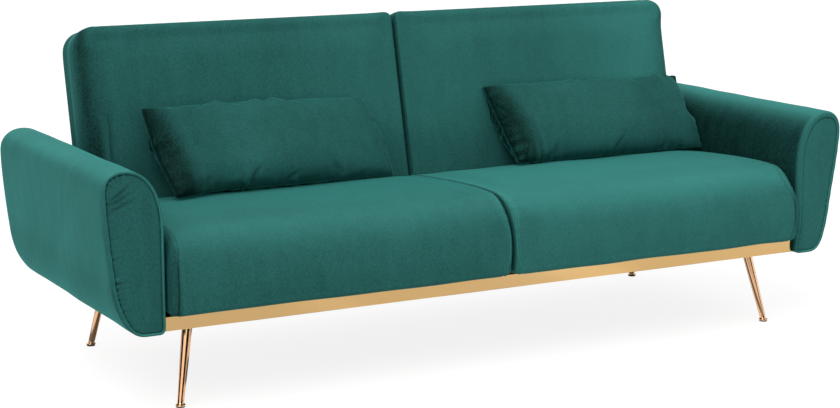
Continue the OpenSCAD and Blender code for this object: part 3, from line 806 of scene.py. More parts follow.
def makeArm(side):
    a = armSettings
    low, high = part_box("arm_cover_right")
    nu, nv = a["counts"]
    outline = armOutline(low, high, a["fuller"][side], a["wider"][side])
    corners = [
        (low.x + 0.004, low.z + 0.004), (low.x + 0.100, low.z + 0.018),
        (high.x - 0.006, high.z - 0.030), (low.x + 0.032, high.z - 0.038),
    ]
    loop = fourSides(outline, corners, (nu, nv))
    inward = inwardOf(loop, 6)
    outerness = stepOf(loop[:, 0], low.x + 0.075, low.x + 0.115)
    outerness = outerness * stepOf(loop[:, 1], high.z - 0.004, high.z - 0.060)
    front = smoothLoop(a["frontRollInner"] + (a["frontRoll"] - a["frontRollInner"]) * outerness, 4)
    if side > 0:  # the far arm turns in more softly
        front = smoothLoop(
            front + 0.010 * (1 - outerness) * stepOf(loop[:, 1], low.z + 0.02, low.z + 0.08), 4,
        )
    ends = np.maximum(
        stepOf(loop[:, 1], low.z + 0.06, low.z + 0.01), stepOf(loop[:, 1], high.z - 0.05, high.z - 0.01),
    )
    rear = smoothLoop(a["rearRollSide"] + (a["rearRoll"] - a["rearRollSide"]) * ends, 6)

    ring = ringMaker(loop, inward, 1)
    y0, y1 = low.y, high.y
    rings = [
        ring(front + 0.0085, y0 + a["frontInset"]),
        ring(front + 0.0055, y0 + a["frontInset"] + 0.0008),
        ring(front + 0.0035, y0 + a["frontInset"] + 0.0022),
        ring(front + 0.0020, y0 + a["frontInset"] + a["seamDepth"]),
        ring(front + 0.0008, y0 + 0.0016),
        ring(front - 0.0014, y0 + 0.0001),
    ]
    rings += rollRings(ring, (68, 50, 33, 18, 6), front - 0.0014, front, y0, 1)
    start, end = y0 + 0.022, y1 - a["rearRoll"] - 0.004
    for t in np.linspace(0, 1, a["stations"]):
        rings.append(ring(0.0, start + (end - start) * t))
    rings += rollRings(ring, (6, 18, 33, 50, 68, 84), rear, rear, y1, -1)
    rings += [
        ring(rear + 0.0012, y1 + 0.0001), ring(rear + 0.0032, y1 - 0.0030),
        ring(rear + 0.0050, y1 - 0.0012), ring(rear + 0.0075, y1 - 0.0004),
    ]
    piece = ringMesh("armCover" + sideWord[side].capitalize(), rings, a["counts"])
    frontSeam, rearSeam = rings[3], rings[-3]
    points = pointsOf(piece)
    # the front and rear panels stand a little proud in their middles
    for seam, sign, limit in ((frontSeam, -1, y0 + 0.006), (rearSeam, 1, y1 - 0.006)):
        face = (points[:, 1] < limit) if sign < 0 else (points[:, 1] > limit)
        away, _ = nearLine(points[face], seam, True)
        depth = stepOf(away, 0.004, 0.040)
        inner = insideOf(points[face][:, [0, 2]], seam[:, [0, 2]])
        points[face, 1] += sign * a["crown"] * depth * inner
    setPoints(piece, points)
    refine(piece)
    points, normals = pointsOf(piece), normalsOf(piece)
    away, along = nearLine(points, frontSeam, True)
    core = points[:, [0, 2]]
    inner = insideOf(core, frontSeam[:, [0, 2]]) * (points[:, 1] < y0 + 0.012)
    outerSide = stepOf(points[:, 0], low.x + 0.070, low.x + 0.110)
    lowPart = (
        stepOf(points[:, 2], low.z + 0.25, low.z + 0.12)
        * stepOf(points[:, 2], low.z + 0.005, low.z + 0.04)
    )
    highPart = stepOf(points[:, 2], high.z - 0.10, high.z - 0.03)
    # little gathers run in from the seam on the front panel
    wave = (
        np.sin(along / 0.0023 + 1.8 * wander(along * 60, 4))
        + 0.5 * np.sin(along / 0.0041 + 2 * wander(along * 40, 14))
    )
    strength = (
        inner * outerSide * (0.35 + 0.9 * lowPart + 0.7 * highPart) * np.exp(-away / 0.020)
        * (0.6 + 0.4 * wander(along * 45, 9))
    )
    shift = a["gather"] * wave * strength * (1.0 if side < 0 else 0.35)
    folds = np.zeros(len(points))
    # and slighter ones on the rolled edge outside it
    shift += 0.0005 * np.sin(along / 0.0065) * outerSide * (1 - inner) * np.exp(-away / 0.012)
    # the cover has long shallow unevenness
    shift += (
        0.0011 * wander(points[:, 1] * 13 + points[:, 2] * 9, 2 + side)
        * stepOf(points[:, 1], y0 + 0.02, y0 + 0.10)
    )
    # diagonal folds in the front panel's outer top corner
    for drop, slope, depth in ((0.050, 0.75, 0.0030), (0.064, 0.55, 0.0022), (0.080, 0.42, 0.0016)):
        fold = (points[:, 2] - (high.z - drop)) + slope * (points[:, 0] - (high.x - 0.040))
        line = (
            inner * np.exp(-(fold / 0.0040) ** 2) * bellOf(points[:, 0], high.x - 0.040, 0.026)
            * (side < 0)
        )
        shift -= depth * line
        folds -= line
    points += normals * shift[:, None]
    points[:, 1] = np.clip(points[:, 1], y0 - 0.004, y1 + 0.004)
    rearAway, _ = nearLine(points, rearSeam, True)
    # painted seam light: a painted highlight just outside the front seam and painted shade in the front and
    # rear seams
    seamPaintedLight = (
        np.exp(-((away - 0.004) / 0.0022) ** 2) * (1 - inner) * 0.9 - np.exp(-(away / 0.0022) ** 2) * 0.9
    )
    seamPaintedLight -= 0.8 * np.exp(-(rearAway / 0.0024) ** 2)
    facing = normals[:, 0]
    heightPart = stepOf(points[:, 2], low.z + 0.08, low.z + 0.20)
    # painted light: the outer side darker low down and lighter higher up, the inner face given painted shade
    # behind its front edge
    nap = (
        (0.28 * heightPart - 0.24) * stepOf(facing, -0.1, 0.75)
        - 0.85 * stepOf(facing, -0.25, -0.9) * stepOf(points[:, 1], y0 + 0.004, y0 + 0.02)
    )
    # painted highlight on the top, stronger on the right arm
    nap += (0.50 if side < 0 else 0.66) * stepOf(normals[:, 2], 0.25, 0.95)
    drift = points[:, 1] * 55 + 2.2 * wander(points[:, 2] * 9 + points[:, 1] * 5, 53)
    streak = (
        wander(drift, 51, 4) * wander(drift * 0.37 + points[:, 2] * 6, 54)
        + 0.5 * wander(points[:, 2] * 13 + drift * 0.2, 52)
    )
    # random vertical streaks of pile tone on the outer side, stronger on the left arm
    nap += (0.16 if side < 0 else 0.05) * streak * stepOf(facing, 0.0, 0.5)
    # painted shade in the hollows of the gathers and folds
    paintedCreaseShade = a["creaseShade"] * (np.minimum(0, wave) * strength + np.minimum(0, folds))
    # the front panel gets a flat tone that differs between the two arms, with painted shade in its gathers
    # and folds
    nap = (
        nap * (1 - inner)
        + ((-0.16 if side < 0 else 0.02) + (paintedCreaseShade if side < 0 else 0.25 * paintedCreaseShade)) * inner
    )
    # painted shade on the inner face towards the rear
    nap -= 0.15 * stepOf(points[:, 1], y0 + 0.25, y1 - 0.2) * stepOf(facing, -0.3, -0.9)
    points[:, 0] *= side
    finishCover(piece, side, points, nap, seamPaintedLight, "base", "arm_cover_" + sideWord[side], 0.8)


def insideOf(points, outline):
    # 1 for points inside a closed outline, 0 outside
    inside = np.zeros(len(points), bool)
    x, y = points[:, 0], points[:, 1]
    for (x0, y0), (x1, y1) in zip(outline, np.roll(outline, -1, 0)):
        crosses = ((y0 > y) != (y1 > y)) & (x < (x1 - x0) * (y - y0) / (y1 - y0 + 1e-12) + x0)
        inside ^= crosses
    return inside.astype(float)


makeArm(-1)
makeArm(1)

# seats

seatSettings = {
    "counts": (60, 24),
    "stations": 84,
    "endRoll": 0.018, "endRollBrow": {-1: 0.028, 1: 0.040}, "endRollToe": {-1: 0.014, 1: 0.034},
    "splitRoll": 0.008, "splitRollBrow": 0.018, "splitRollToe": 0.022,
    "seamDepth": 0.0030,
    "sunk": 0.004,          # how much smaller the cover starts, before the cloth swells
}


def seatOutline(low, high):
    front, rear, base, top = low.y, high.y, low.z, high.z
    toe = 0.014
    nose, brow = (front, base + toe), (front + 0.101, top + 0.0)
    edge, heel = (rear, top - 0.033), (rear - 0.042, base)
    back = (rear - 0.014, top - 0.018)
    return np.vstack([
        arcOf((front + toe, base + toe), toe, 180, 270, 6),
        [heel], [edge],
        curve3(edge, (rear + 0.0, top - 0.025), (rear - 0.006, top - 0.019), back, 5)[1:],
        curve3(back, (front + 0.373, top - 0.004), (brow[0] + 0.092, top + 0.008), brow)[1:],
        curve3(brow, (brow[0] - 0.092, top - 0.013), (front, base + toe + 0.093), nose)[1:],
    ])


seatTop = np.zeros((24, 2))     # depth and height along the top, filled in below


def makeSeat(side):
    s = seatSettings
    low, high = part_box("seat_cover_right")
    nu, nv = s["counts"]
    outline = seatOutline(low, high)
    # bottom front, bottom rear, top rear, top front
    corners = [
        (low.y + 0.004, low.z + 0.004), (high.y - 0.042, low.z), (high.y - 0.004, high.z - 0.024),
        (low.y + 0.040, high.z - 0.030),
    ]
    loop = fourSides(outline, corners, (nu, nv))
    inward = inwardOf(loop, 8)
    brow = bellOf(loop[:, 0], low.y + 0.035, 0.050) * stepOf(loop[:, 1], high.z - 0.11, high.z - 0.03)
    toe = bellOf(loop[:, 1], low.z, 0.045) * stepOf(loop[:, 0], low.y + 0.10, low.y + 0.02)
    endBrow, endToe = s["endRollBrow"][side], s["endRollToe"][side]
    endRoll = smoothLoop(s["endRoll"] + (endBrow - s["endRoll"]) * brow + (endToe - s["endRoll"]) * toe, 4)
    splitRoll = smoothLoop(
        s["splitRoll"] + (s["splitRollBrow"] - s["splitRoll"]) * brow
        + (s["splitRollToe"] - s["splitRoll"]) * toe,
        4,
    )

    ring = ringMaker(loop, inward, 0)
    x0, x1 = low.x, high.x
    rings = [ring(splitRoll + 0.010, x0 + 0.0004), ring(splitRoll + 0.004, x0 + 0.0002)]
    rings += rollRings(ring, (80, 62, 44, 28, 14), splitRoll, splitRoll, x0, 1)
    rings += [
        ring(0.0002, x0 + splitRoll * 0.92), ring(s["seamDepth"] * 0.8, x0 + splitRoll + 0.0016),
        ring(0.0005, x0 + splitRoll + 0.0040),
    ]
    splitSeam = rings[-2]
    a, b = 0.040, 0.062
    for t in np.linspace(0, 1, s["stations"]):
        rings.append(ring(0.0, x0 + a + (x1 - b - x0 - a) * t))
    rings += [
        ring(0.0, x1 - endRoll - 0.006), ring(0.0006, x1 - endRoll - 0.003),
        ring(s["seamDepth"], x1 - endRoll), ring(0.0010, x1 - endRoll + 0.0025),
    ]
    endSeam = rings[-2]
    rings += rollRings(ring, (14, 28, 44, 62, 80), endRoll, endRoll, x1, -1, start=0.001)
    rings += [ring(endRoll + 0.005, x1 - 0.0002), ring(endRoll + 0.011, x1 - 0.0004)]
    piece = ringMesh("seatCover" + sideWord[side].capitalize(), rings, s["counts"])
    upper = loop[loop[:, 1] > high.z - 0.034]
    seatTop[:] = upper[np.argsort(upper[:, 0])][np.linspace(0, len(upper) - 1, len(seatTop)).astype(int)]
    points = pointsOf(piece)
    awaySplit, _ = nearLine(points, splitSeam, True)
    awayEnd, _ = nearLine(points, endSeam, True)
    seamAway = np.minimum(awaySplit, awayEnd)
    free = stepOf(seamAway, 0.004, 0.045) * stepOf(points[:, 2], low.z + 0.004, low.z + 0.03)
    free *= (points[:, 0] > x0 + 0.012) & (points[:, 0] < x1 - 0.03)
    points, normals = swell(piece, free, s["sunk"])
    awaySplit, alongSplit = nearLine(points, splitSeam, True)
    awayEnd, alongEnd = nearLine(points, endSeam, True)
    topFront = bellOf(points[:, 1], low.y + 0.045, 0.05) * stepOf(points[:, 2], high.z - 0.10, high.z - 0.03)
    shift = (
        0.0012 * np.sin(alongSplit / 0.0040 + wander(alongSplit * 70, 3)) * np.exp(-awaySplit / 0.010)
        * (0.25 + topFront)
    )
    shift += (
        0.0011 * np.sin(alongEnd / 0.0046 + wander(alongEnd * 70, 5)) * np.exp(-awayEnd / 0.010)
        * (0.2 + topFront)
    )
    shift += (
        0.0014 * wander(points[:, 0] * 11 + points[:, 2] * 14, 12 + side)
        * stepOf(np.minimum(awaySplit, awayEnd), 0.01, 0.08)
    )
    points += normals * shift[:, None]
    points[:, 2] = np.maximum(points[:, 2], low.z - 0.0005)
    endPanel = stepOf(points[:, 0], x1 - 0.026, x1 - 0.017)
    # painted seam light: a painted highlight beside the split seam and painted shade on both seams
    seamPaintedLight = 0.8 * np.exp(-((awaySplit - 0.003) / 0.002) ** 2) - 0.8 * np.exp(-(awaySplit / 0.0016) ** 2)
    seamPaintedLight += -0.8 * np.exp(-(awayEnd / 0.0020) ** 2)
    # painted light: the top lighter than the front, by different amounts on the two cushions
    front, crest = (-0.12, 0.30) if side < 0 else (0.04, 0.40)
    nap = front + crest * stepOf(normals[:, 2], 0.25, 0.85)
    # painted highlight in a band just behind the front edge, with random variation along it
    nap += (
        0.20 * bellOf(points[:, 1], low.y + 0.075, 0.035) * stepOf(normals[:, 2], 0.3, 0.7)
        * (0.6 + 0.4 * wander(points[:, 0] * 5, 77))
    )
    # painted shade on the end panel and on the face at the split
    nap -= 0.45 * endPanel + 0.6 * stepOf(points[:, 0], x0 + 0.006, x0 + 0.001)
    points[:, 0] *= side
    finishCover(piece, side, points, nap, seamPaintedLight, "base", "seat_cover_" + sideWord[side], 0.85)


makeSeat(-1)
makeSeat(1)

# backs

backSettings = {
    "counts": (88, 58),
    "recline": 13.5,
    "pivot": (0.224, 0.330),
    "front": -0.101, "rear": 0.027, "foot": -0.080, "head": 0.530,
    "near": 0.005, "far": 0.924,
    "cornerTopFar": 0.055, "cornerTopNear": 0.016, "cornerFoot": 0.010,
    "rollTop": 0.024, "rollFoot": 0.042, "rollFar": 0.048, "rollNear": 0.009,
    "rollRear": 0.016, "rollRearSide": 0.009,
    "sunk": 0.004,
}


def leanBack(points):
    # from the back's own upright position to its place on the hinge
    turn = math.radians(backSettings["recline"])
    y, z = points[:, 1].copy(), points[:, 2].copy()
    out = points.copy()
    out[:, 1] = y * math.cos(turn) + z * math.sin(turn) + backSettings["pivot"][0]
    out[:, 2] = -y * math.sin(turn) + z * math.cos(turn) + backSettings["pivot"][1]
    return out


def makeBack(side):
    b = backSettings
    nu, nv = b["counts"]
    near, far, foot, head = b["near"], b["far"], b["foot"], b["head"]
    f, tn, tf = b["cornerFoot"], b["cornerTopNear"], b["cornerTopFar"]
    outline = np.vstack([
        arcOf((near + f, foot + f), f, 180, 270), arcOf((far - f, foot + f), f, 270, 360),
        arcOf((far - tf, head - tf), tf, 0, 90, 14), arcOf((near + tn, head - tn), tn, 90, 180),
    ])
    c = 0.293
    corners = [
        (near + f * c, foot + f * c), (far - f * c, foot + f * c),
        (far - tf * c, head - tf * c), (near + tn * c, head - tn * c),
    ]
    loop = fourSides(outline, corners, (nu, nv))
    inward = inwardOf(loop, 10)
    atTop = stepOf(loop[:, 1], head - 0.075, head - 0.02)
    atFoot = stepOf(loop[:, 1], foot + 0.06, foot + 0.01)
    atFar = stepOf(loop[:, 0], far - 0.05, far - 0.01)
    front = b["rollNear"] + (b["rollFar"] - b["rollNear"]) * atFar
    front = front + (b["rollTop"] - front) * atTop * stepOf(loop[:, 0], near + 0.005, near + 0.06)
    front = smoothLoop(front + (b["rollFoot"] - front) * atFoot, 6)
    rear = smoothLoop(b["rollRearSide"] + (b["rollRear"] - b["rollRearSide"]) * np.maximum(atTop, atFoot), 6)

    ring = ringMaker(loop, inward, 1)
    y0, y1 = b["front"], b["rear"]
    rings = [ring(front + 0.014, y0 + 0.0), ring(front + 0.006, y0 + 0.0001)]
    rings += rollRings(ring, (82, 66, 50, 35, 20, 8), front, front, y0, 1)
    sewn = 0.15 + 0.85 * (1 - atFar) * (1 - atFoot)    # no front seam round the outer side
    rings += [
        ring(0.0003, y0 + front + 0.0015), ring(0.0003 + 0.0024 * sewn, y0 + front + 0.0035),
        ring(0.0003, y0 + front + 0.0060),
    ]
    frontSeam = rings[-2]
    for t in np.linspace(0.06, 1, 9):
        start = y0 + front + 0.006
        rings.append(ring(0.0, start + (y1 - rear - start) * t))
    rings += rollRings(ring, (15, 32, 50, 68, 84), rear, rear, y1, -1)
    rings += [
        ring(rear + 0.0014, y1), ring(rear + 0.0034, y1 - 0.0028),
        ring(rear + 0.0054, y1 - 0.0008), ring(rear + 0.0090, y1 - 0.0002),
    ]
    rearSeam = rings[-3]
    piece = ringMesh("backCover" + sideWord[side].capitalize(), rings, b["counts"])
    points = pointsOf(piece)
    away = np.minimum(nearLine(points, frontSeam, True)[0], nearLine(points, rearSeam, True)[0])
    free = stepOf(away, 0.006, 0.07)
    points, normals = swell(piece, free, b["sunk"])
    awayFront, alongFront = nearLine(points, frontSeam, True)
    awayRear, _ = nearLine(points, rearSeam, True)
    corner = bellOf(points[:, 0], far, 0.07) * bellOf(points[:, 2], head, 0.07)
    shift = (
        0.0009 * np.sin(alongFront / 0.0050 + wander(alongFront * 60, 8)) * np.exp(-awayFront / 0.010)
        * (0.2 + corner)
    )
    shift += (
        0.0013 * wander(points[:, 0] * 9 + points[:, 2] * 6, 31 + side)
        * stepOf(np.minimum(awayFront, awayRear), 0.01, 0.1)
    )
    points += normals * shift[:, None]
    # painted seam light: a painted highlight beside the front seam and painted shade on the front and rear
    # seams, the front marks stopping at the far side
    seamPaintedLight = 0.5 * np.exp(-((awayFront - 0.004) / 0.0022) ** 2) - 0.9 * np.exp(-(awayFront / 0.0020) ** 2)
    seamPaintedLight *= 1 - stepOf(points[:, 0], far - 0.03, far - 0.01)
    seamPaintedLight -= 0.8 * np.exp(-(awayRear / 0.0024) ** 2)
    # painted light: darker overall, with painted shade on the rounded far side
    nap = (
        -0.14
        - 0.62 * bellOf(normals[:, 0], 0.62, 0.40) * stepOf(points[:, 0], far - 0.10, far - 0.03)
        * stepOf(-normals[:, 1], -0.2, 0.1)
    )
    # painted light on the front face, different on the two backs: the right one lighter towards its far end,
    # the left one lighter near the split
    face = stepOf(-normals[:, 1], 0.4, 0.8)
    if side > 0:
        nap += (0.14 + 0.45 * stepOf(points[:, 0], 0.42, 0.86)) * face
    else:
        nap += 0.16 * stepOf(points[:, 0], 0.42, 0.12) * face
    # painted shade on faces turned towards the split, and low on the front
    nap -= 0.30 * stepOf(-normals[:, 0], 0.3, 0.9)
    nap -= 0.22 * stepOf(points[:, 2], 0.26, 0.10) * stepOf(-normals[:, 1], 0.4, 0.8)
    points[:, 0] *= side
    word = sideWord[side]
    finishCover(piece, side, leanBack(points), nap, seamPaintedLight, "back_" + word, "back_cover_" + word, 0.85)


makeBack(-1)
makeBack(1)

# foam inside the seats and backs, its cut edges rounded like the covers over it

foamSettings = {"round": 0.016, "steps": 4, "angle": 38}


def makeFoam(name, body):
    f = foamSettings
    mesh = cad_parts[name].data.copy()
    words = name.split("_")
    piece = bpy.data.objects.new(words[0] + "Foam" + words[2].capitalize(), mesh)
    scene.collection.objects.link(piece)
    edit = bmesh.new()
    edit.from_mesh(mesh)
    bmesh.ops.remove_doubles(edit, verts=edit.verts, dist=2e-5)
    bmesh.ops.dissolve_limit(edit, angle_limit=math.radians(3), verts=edit.verts, edges=edit.edges)
    edit.to_mesh(mesh)
    edit.free()
    bevel = piece.modifiers.new("round", "BEVEL")
    bevel.width, bevel.segments = f["round"], f["steps"]
    bevel.limit_method, bevel.angle_limit = "ANGLE", math.radians(f["angle"])
    bpy.context.view_layer.update()
    made = bpy.data.meshes.new_from_object(piece.evaluated_get(bpy.context.evaluated_depsgraph_get()))
    piece.modifiers.remove(bevel)
    piece.data = made
    bpy.data.meshes.remove(mesh)
    made.name = piece.name
    shell = shells[name.replace("foam", "cover")]
    points = pointsOf(piece)
    middle = (points[:, 0].max() + points[:, 0].min()) / 2
    points[:, 0] = middle + (points[:, 0] - middle) * 0.988
    for i, point in enumerate(points):
        near, normal, _, _ = shell.find_nearest(point)
        depth = (near - Vector(point)).dot(normal)
        if depth < 0.008:
            points[i] = near - normal * 0.008
    setPoints(piece, points)
    finishPiece(piece, body, "foam", name, fill=0.9)


for word in ("left", "right"):
    makeFoam("seat_foam_" + word, "base")
for word in ("left", "right"):
    makeFoam("back_foam_" + word, "back_" + word)

# pillows

pillowSettings = {
    "counts": (112, 42),
    "width": 0.690, "height": 0.276, "seed": 0.006,
    "finished": {"left": (0.684, 0.258), "right": (0.664, 0.254)},
    "lean": {"left": 35.0, "right": 37.0}, "roll": {"left": 1.6, "right": 1.6}, "yaw": {"left": 5.0,
        "right": 3.0},
    "middle": {"left": (-0.436, 0.108, 0.548), "right": (0.6065, 0.126, 0.541)},
    "straight": {"left": 0.97, "right": 0.86},
    "shear": {"left": (-0.0165, -0.0075), "right": (-0.015, 0.006)},  # of the top edge: sideways, wider
    "pucker": {"left": 0.35, "right": 1.0},
    "curl": {"left": 0.050, "right": 0.012},       # how far the lower left corner comes forward
    "lip": 0.0035,
    "thickness": 0.120,
    "left": {"pressure": 5.5, "frames": 26, "stiff": 22.0, "bend": 1.6, "grow": 0.0},
    "right": {"pressure": 5.5, "frames": 26, "stiff": 22.0, "bend": 0.25, "grow": 0.02},
}


def makePillow(word):
    p = pillowSettings
    own = p[word]
    nu, nv = p["counts"]
    rng = np.random.default_rng(7 if word == "left" else 19)
    u, v = np.meshgrid(np.linspace(-1, 1, nu + 1), np.linspace(-1, 1, nv + 1))
    x, z = u * p["width"] / 2, v * p["height"] / 2
    dome = ((1 - u**8) * (1 - v**4)) ** 0.5
    bumpy = 1 + 0.05 * np.sin(9 * u + 3 * v + rng.uniform(0, 6)) + 0.04 * np.sin(5 * v - 7 * u)
    points, faces = [], []
    index = {}
    for layer in (0, 1):
        y = (-1 if layer == 0 else 1) * p["seed"] * dome * bumpy
        for i in range(nv + 1):
            for j in range(nu + 1):
                edge = i in (0, nv) or j in (0, nu)
                if layer == 1 and edge:
                    index[1, i, j] = index[0, i, j]
                    continue
                index[layer, i, j] = len(points)
                points.append((x[i, j], y[i, j], z[i, j]))
        for i in range(nv):
            for j in range(nu):
                quad = (
                    index[layer, i, j], index[layer, i, j + 1], index[layer, i + 1, j + 1],
                    index[layer, i + 1, j],
                )
                faces.append(quad if layer == 0 else quad[::-1])
    piece = meshObject("pillowCover" + word.capitalize(), points, faces)
    inflate(
        piece, own["pressure"], own["frames"], 0.2, stiff=own["stiff"], bend=own["bend"], grow=own["grow"],
    )
    start = pointsOf(piece)
    print("pillow", word, "swelled to", (start.max(0) - start.min(0)).round(3))
    start[:, 1] *= p["thickness"] / (start[:, 1].max() - start[:, 1].min())
    # a full filling: straighter edges, and sides that rise more steeply
    half = p["thickness"] / 2
    start[:, 1] = np.sign(start[:, 1]) * half * np.minimum(1, np.abs(start[:, 1]) / half) ** 0.72
    ring = {k: np.array([index[0, i, j] for i, j in r]) for k, r in {
        "foot": [(0, j) for j in range(nu + 1)], "head": [(nv, j) for j in range(nu + 1)],
        "left": [(i, 0) for i in range(nv + 1)], "right": [(i, nu) for i in range(nv + 1)],
    }.items()}
    for axis, other, a, b in ((2, 0, "foot", "head"), (0, 2, "left", "right")):
        lines = []
        for key in (a, b):
            line = start[ring[key]]
            order = np.argsort(line[:, other])
            value = np.interp(start[:, other], line[order, other], line[order, axis])
            goal = np.interp(
                start[:, other], [line[0, other], line[-1, other]], [line[0, axis], line[-1, axis]],
            )
            lines.append((value, value + (goal - value) * p["straight"][word]))
        (v0, g0), (v1, g1) = lines
        start[:, axis] = g0 + (start[:, axis] - v0) * (g1 - g0) / np.maximum(v1 - v0, 1e-6)
    size = start.max(0) - start.min(0)
    start[:, 0] *= p["finished"][word][0] / size[0]
    start[:, 2] *= p["finished"][word][1] / size[2]
    setPoints(piece, start)
    # the seam stands out as a thin lip all round
    rim = [index[0, 0, j] for j in range(nu)] + [index[0, i, nu] for i in range(nv)]
    rim += [index[0, nv, j] for j in range(nu, 0, -1)] + [index[0, i, 0] for i in range(nv, 0, -1)]
    refine(piece)
    place = pointsOf(piece)
    seamLine = start[rim]
    away, along = nearLine(place, seamLine, True)
    normals = normalsOf(piece)
    # pinch: the last few millimetres flatten towards the seam
    pinch = np.exp(-(away / 0.006) ** 2)
    seamY = np.interp(along, np.linspace(0, along.max(), len(seamLine)), seamLine[:, 1])
    place[:, 1] = place[:, 1] * (1 - 0.75 * pinch) + seamY * 0.20 * pinch
    size = np.linalg.norm(place[:, [0, 2]], axis=1)
    place[:, 0] += place[:, 0] / np.maximum(size, 1e-6) * p["lip"] * np.exp(-(away / 0.003) ** 2)
    place[:, 2] += place[:, 2] / np.maximum(size, 1e-6) * p["lip"] * np.exp(-(away / 0.003) ** 2)
    # puckers run in from the seam, longest at the lower corners and the right end
    wave = np.sin(along / 0.0046 + 2.2 * wander(along * 30, 61)) * (0.55 + 0.45 * wander(along * 24, 62))
    reach = (
        0.012 + 0.040 * bellOf(place[:, 0], -0.30, 0.10) * stepOf(-place[:, 2], 0.0, 0.09)
        + 0.018 * stepOf(place[:, 0], 0.20, 0.30)
    )
    wave *= np.exp(-away / reach) * stepOf(away, 0.001, 0.008) * p["pucker"][word]
    place += normals * (0.0022 * wave)[:, None]
    # painted seam light: a painted highlight on the seam and a painted shade line just inside it
    seamPaintedLight = 0.9 * np.exp(-(away / 0.0026) ** 2) - 0.6 * np.exp(-((away - 0.007) / 0.003) ** 2)
    # random pile tone, with painted light and shade on the puckers
    nap = -0.30 + 0.12 * wander(place[:, 0] * 8, 3 if word == "left" else 6) + 0.34 * wave
    shade = 0.305 - 0.028 * stepOf(place[:, 2], 0.12, -0.12)     # painted shade on the left end, which turns away, more so lower down
    nap -= (0.62 if word == "left" else 0.45) * stepOf(-place[:, 0] - shade, -0.045, 0.025)
    rise = stepOf(place[:, 2], -p["height"] / 2, p["height"] / 2)
    shear, wider = p["shear"][word]
    place[:, 0] += rise * (shear + wider * place[:, 0] / p["width"] * 2)
    curl = p["curl"][word] * stepOf(-place[:, 0], 0.18, 0.34) * stepOf(-place[:, 2], 0.02, 0.12)
    # into place: leaning on the back, resting on the seat
    spin = (
        Matrix.Rotation(math.radians(p["yaw"][word]), 3, "Z")
        @ Matrix.Rotation(math.radians(-p["lean"][word]), 3, "X")
        @ Matrix.Rotation(math.radians(p["roll"][word]), 3, "Y")
    )
    place = place @ np.array(spin).T + np.array(p["middle"][word])
    place[:, 1] -= curl
    # flattened where it leans on the back and sits on the seat
    b = backSettings
    lean = math.radians(b["recline"])
    behind = (
        (place[:, 1] - b["pivot"][0]) * math.cos(lean) - (place[:, 2] - b["pivot"][1]) * math.sin(lean)
        - b["front"]
    )
    over = np.maximum(0, behind + 0.004)
    place[:, 1] -= over * math.cos(lean)
    place[:, 2] += over * math.sin(lean)
    floorZ = np.interp(place[:, 1], seatTop[:, 0], seatTop[:, 1]) + 0.0015
    place[:, 2] = np.maximum(place[:, 2], floorZ)
    # painted highlight along the welt and painted shadow along the edge that rests on the seat
    above = place[:, 2] - floorZ
    nap += 0.40 * bellOf(above, 0.0115, 0.0030) - 0.90 * stepOf(above, 0.0075, 0.0030)
    setPoints(piece, place)
    # the filling, a little smaller than its cover
    core = place.copy()
    middle = core.mean(0)
    core = middle + (core - middle) * np.array([0.93, 0.90, 0.90])
    filling = bpy.data.objects.new("pillowInsert" + word.capitalize(), piece.data.copy())
    scene.collection.objects.link(filling)
    setPoints(filling, core)
    finishPiece(filling, "pillow_" + word, "polyester_fill", "pillow_insert_" + word, fill=0.7)
    setMark(piece, "nap", nap)
    setMark(piece, "seam", seamPaintedLight)
    finishPiece(piece, "pillow_" + word, "velvet", "pillow_cover_" + word, fill=0.7)


makePillow("left")
makePillow("right")

# gold trim

trimSettings = {"sheet": 0.0012, "fold": 0.0022, "ledge": 0.014, "return": 0.030}


def makeTrim():
    t = trimSettings
    low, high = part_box("base_trim")
    f, s = t["fold"], t["sheet"]
    z0, z1 = low.z, high.z
    # profile: how far in from the front plane, and height
    profile = [(0.0, z0 + 0.0006), (0.0, z0 + 0.0030), (0.0, z1 - f - 0.0020), (0.0, z1 - f)]
    profile += [(f * (1 - math.cos(a)), z1 - f + f * math.sin(a)) for a in np.radians([18, 36, 54, 72, 90])]
    profile += [(t["ledge"], z1), (t["ledge"] + 0.0002, z1 - s), (f + 0.0004, z1 - s)]
    profile += [
        (s + (f - s) * (1 - math.cos(a)), z1 - f + (f - s) * math.sin(a))
        for a in np.radians([60, 25])
    ]
    profile += [(s, z1 - f), (s, z0 + 0.0006), (s * 0.5, z0)]
    columns = 220
    rings = []
    for inset, z in profile:
        r = max(0.003 - inset, 0.0002)
        cx, cy = high.x - max(0.003, inset + 0.0002), low.y + max(0.003, inset + 0.0002)
        left = arcOf((-cx, cy), r, 180, 270, 6)
        right = arcOf((cx, cy), r, 270, 360, 6)
        middle = np.stack([np.linspace(-cx, cx, columns)[1:-1], np.full(columns - 2, cy - r)], 1)
        path = np.vstack([
            [(-cx - r, low.y + t["return"])], left, middle, right, [(cx + r, low.y + t["return"])]
        ])
        rings.append(np.column_stack([path, np.full(len(path), z)]))
    rows, width = len(rings), len(rings[0])
    faces = []
    for k in range(rows):
        for j in range(width - 1):
            n = (k + 1) % rows
            faces.append((k * width + j, k * width + j + 1, n * width + j + 1, n * width + j))
    faces.append([k * width for k in range(rows)])
    faces.append([k * width + width - 1 for k in range(rows)][::-1])
    points = np.vstack(rings)
    # the band isn't perfectly flat
    points[:, 1] += (
        0.00022 * (np.sin(points[:, 0] * 9.1) + np.sin(points[:, 0] * 21.7 + 1))
        * (points[:, 1] < low.y + 0.0015)
    )
    piece = meshObject("trimBand", points, faces)
    piece.data.set_sharp_from_angle(angle=math.radians(40))
    finishPiece(piece, "base", "gold_trim", "base_trim")
    for polygon in piece.data.polygons:
        if len(polygon.vertices) > 4:
            polygon.use_smooth = False


makeTrim()

# legs

legSettings = {"footRadius": 0.0083, "topRadius": 0.0136, "disc": 0.0122, "sides": 56}


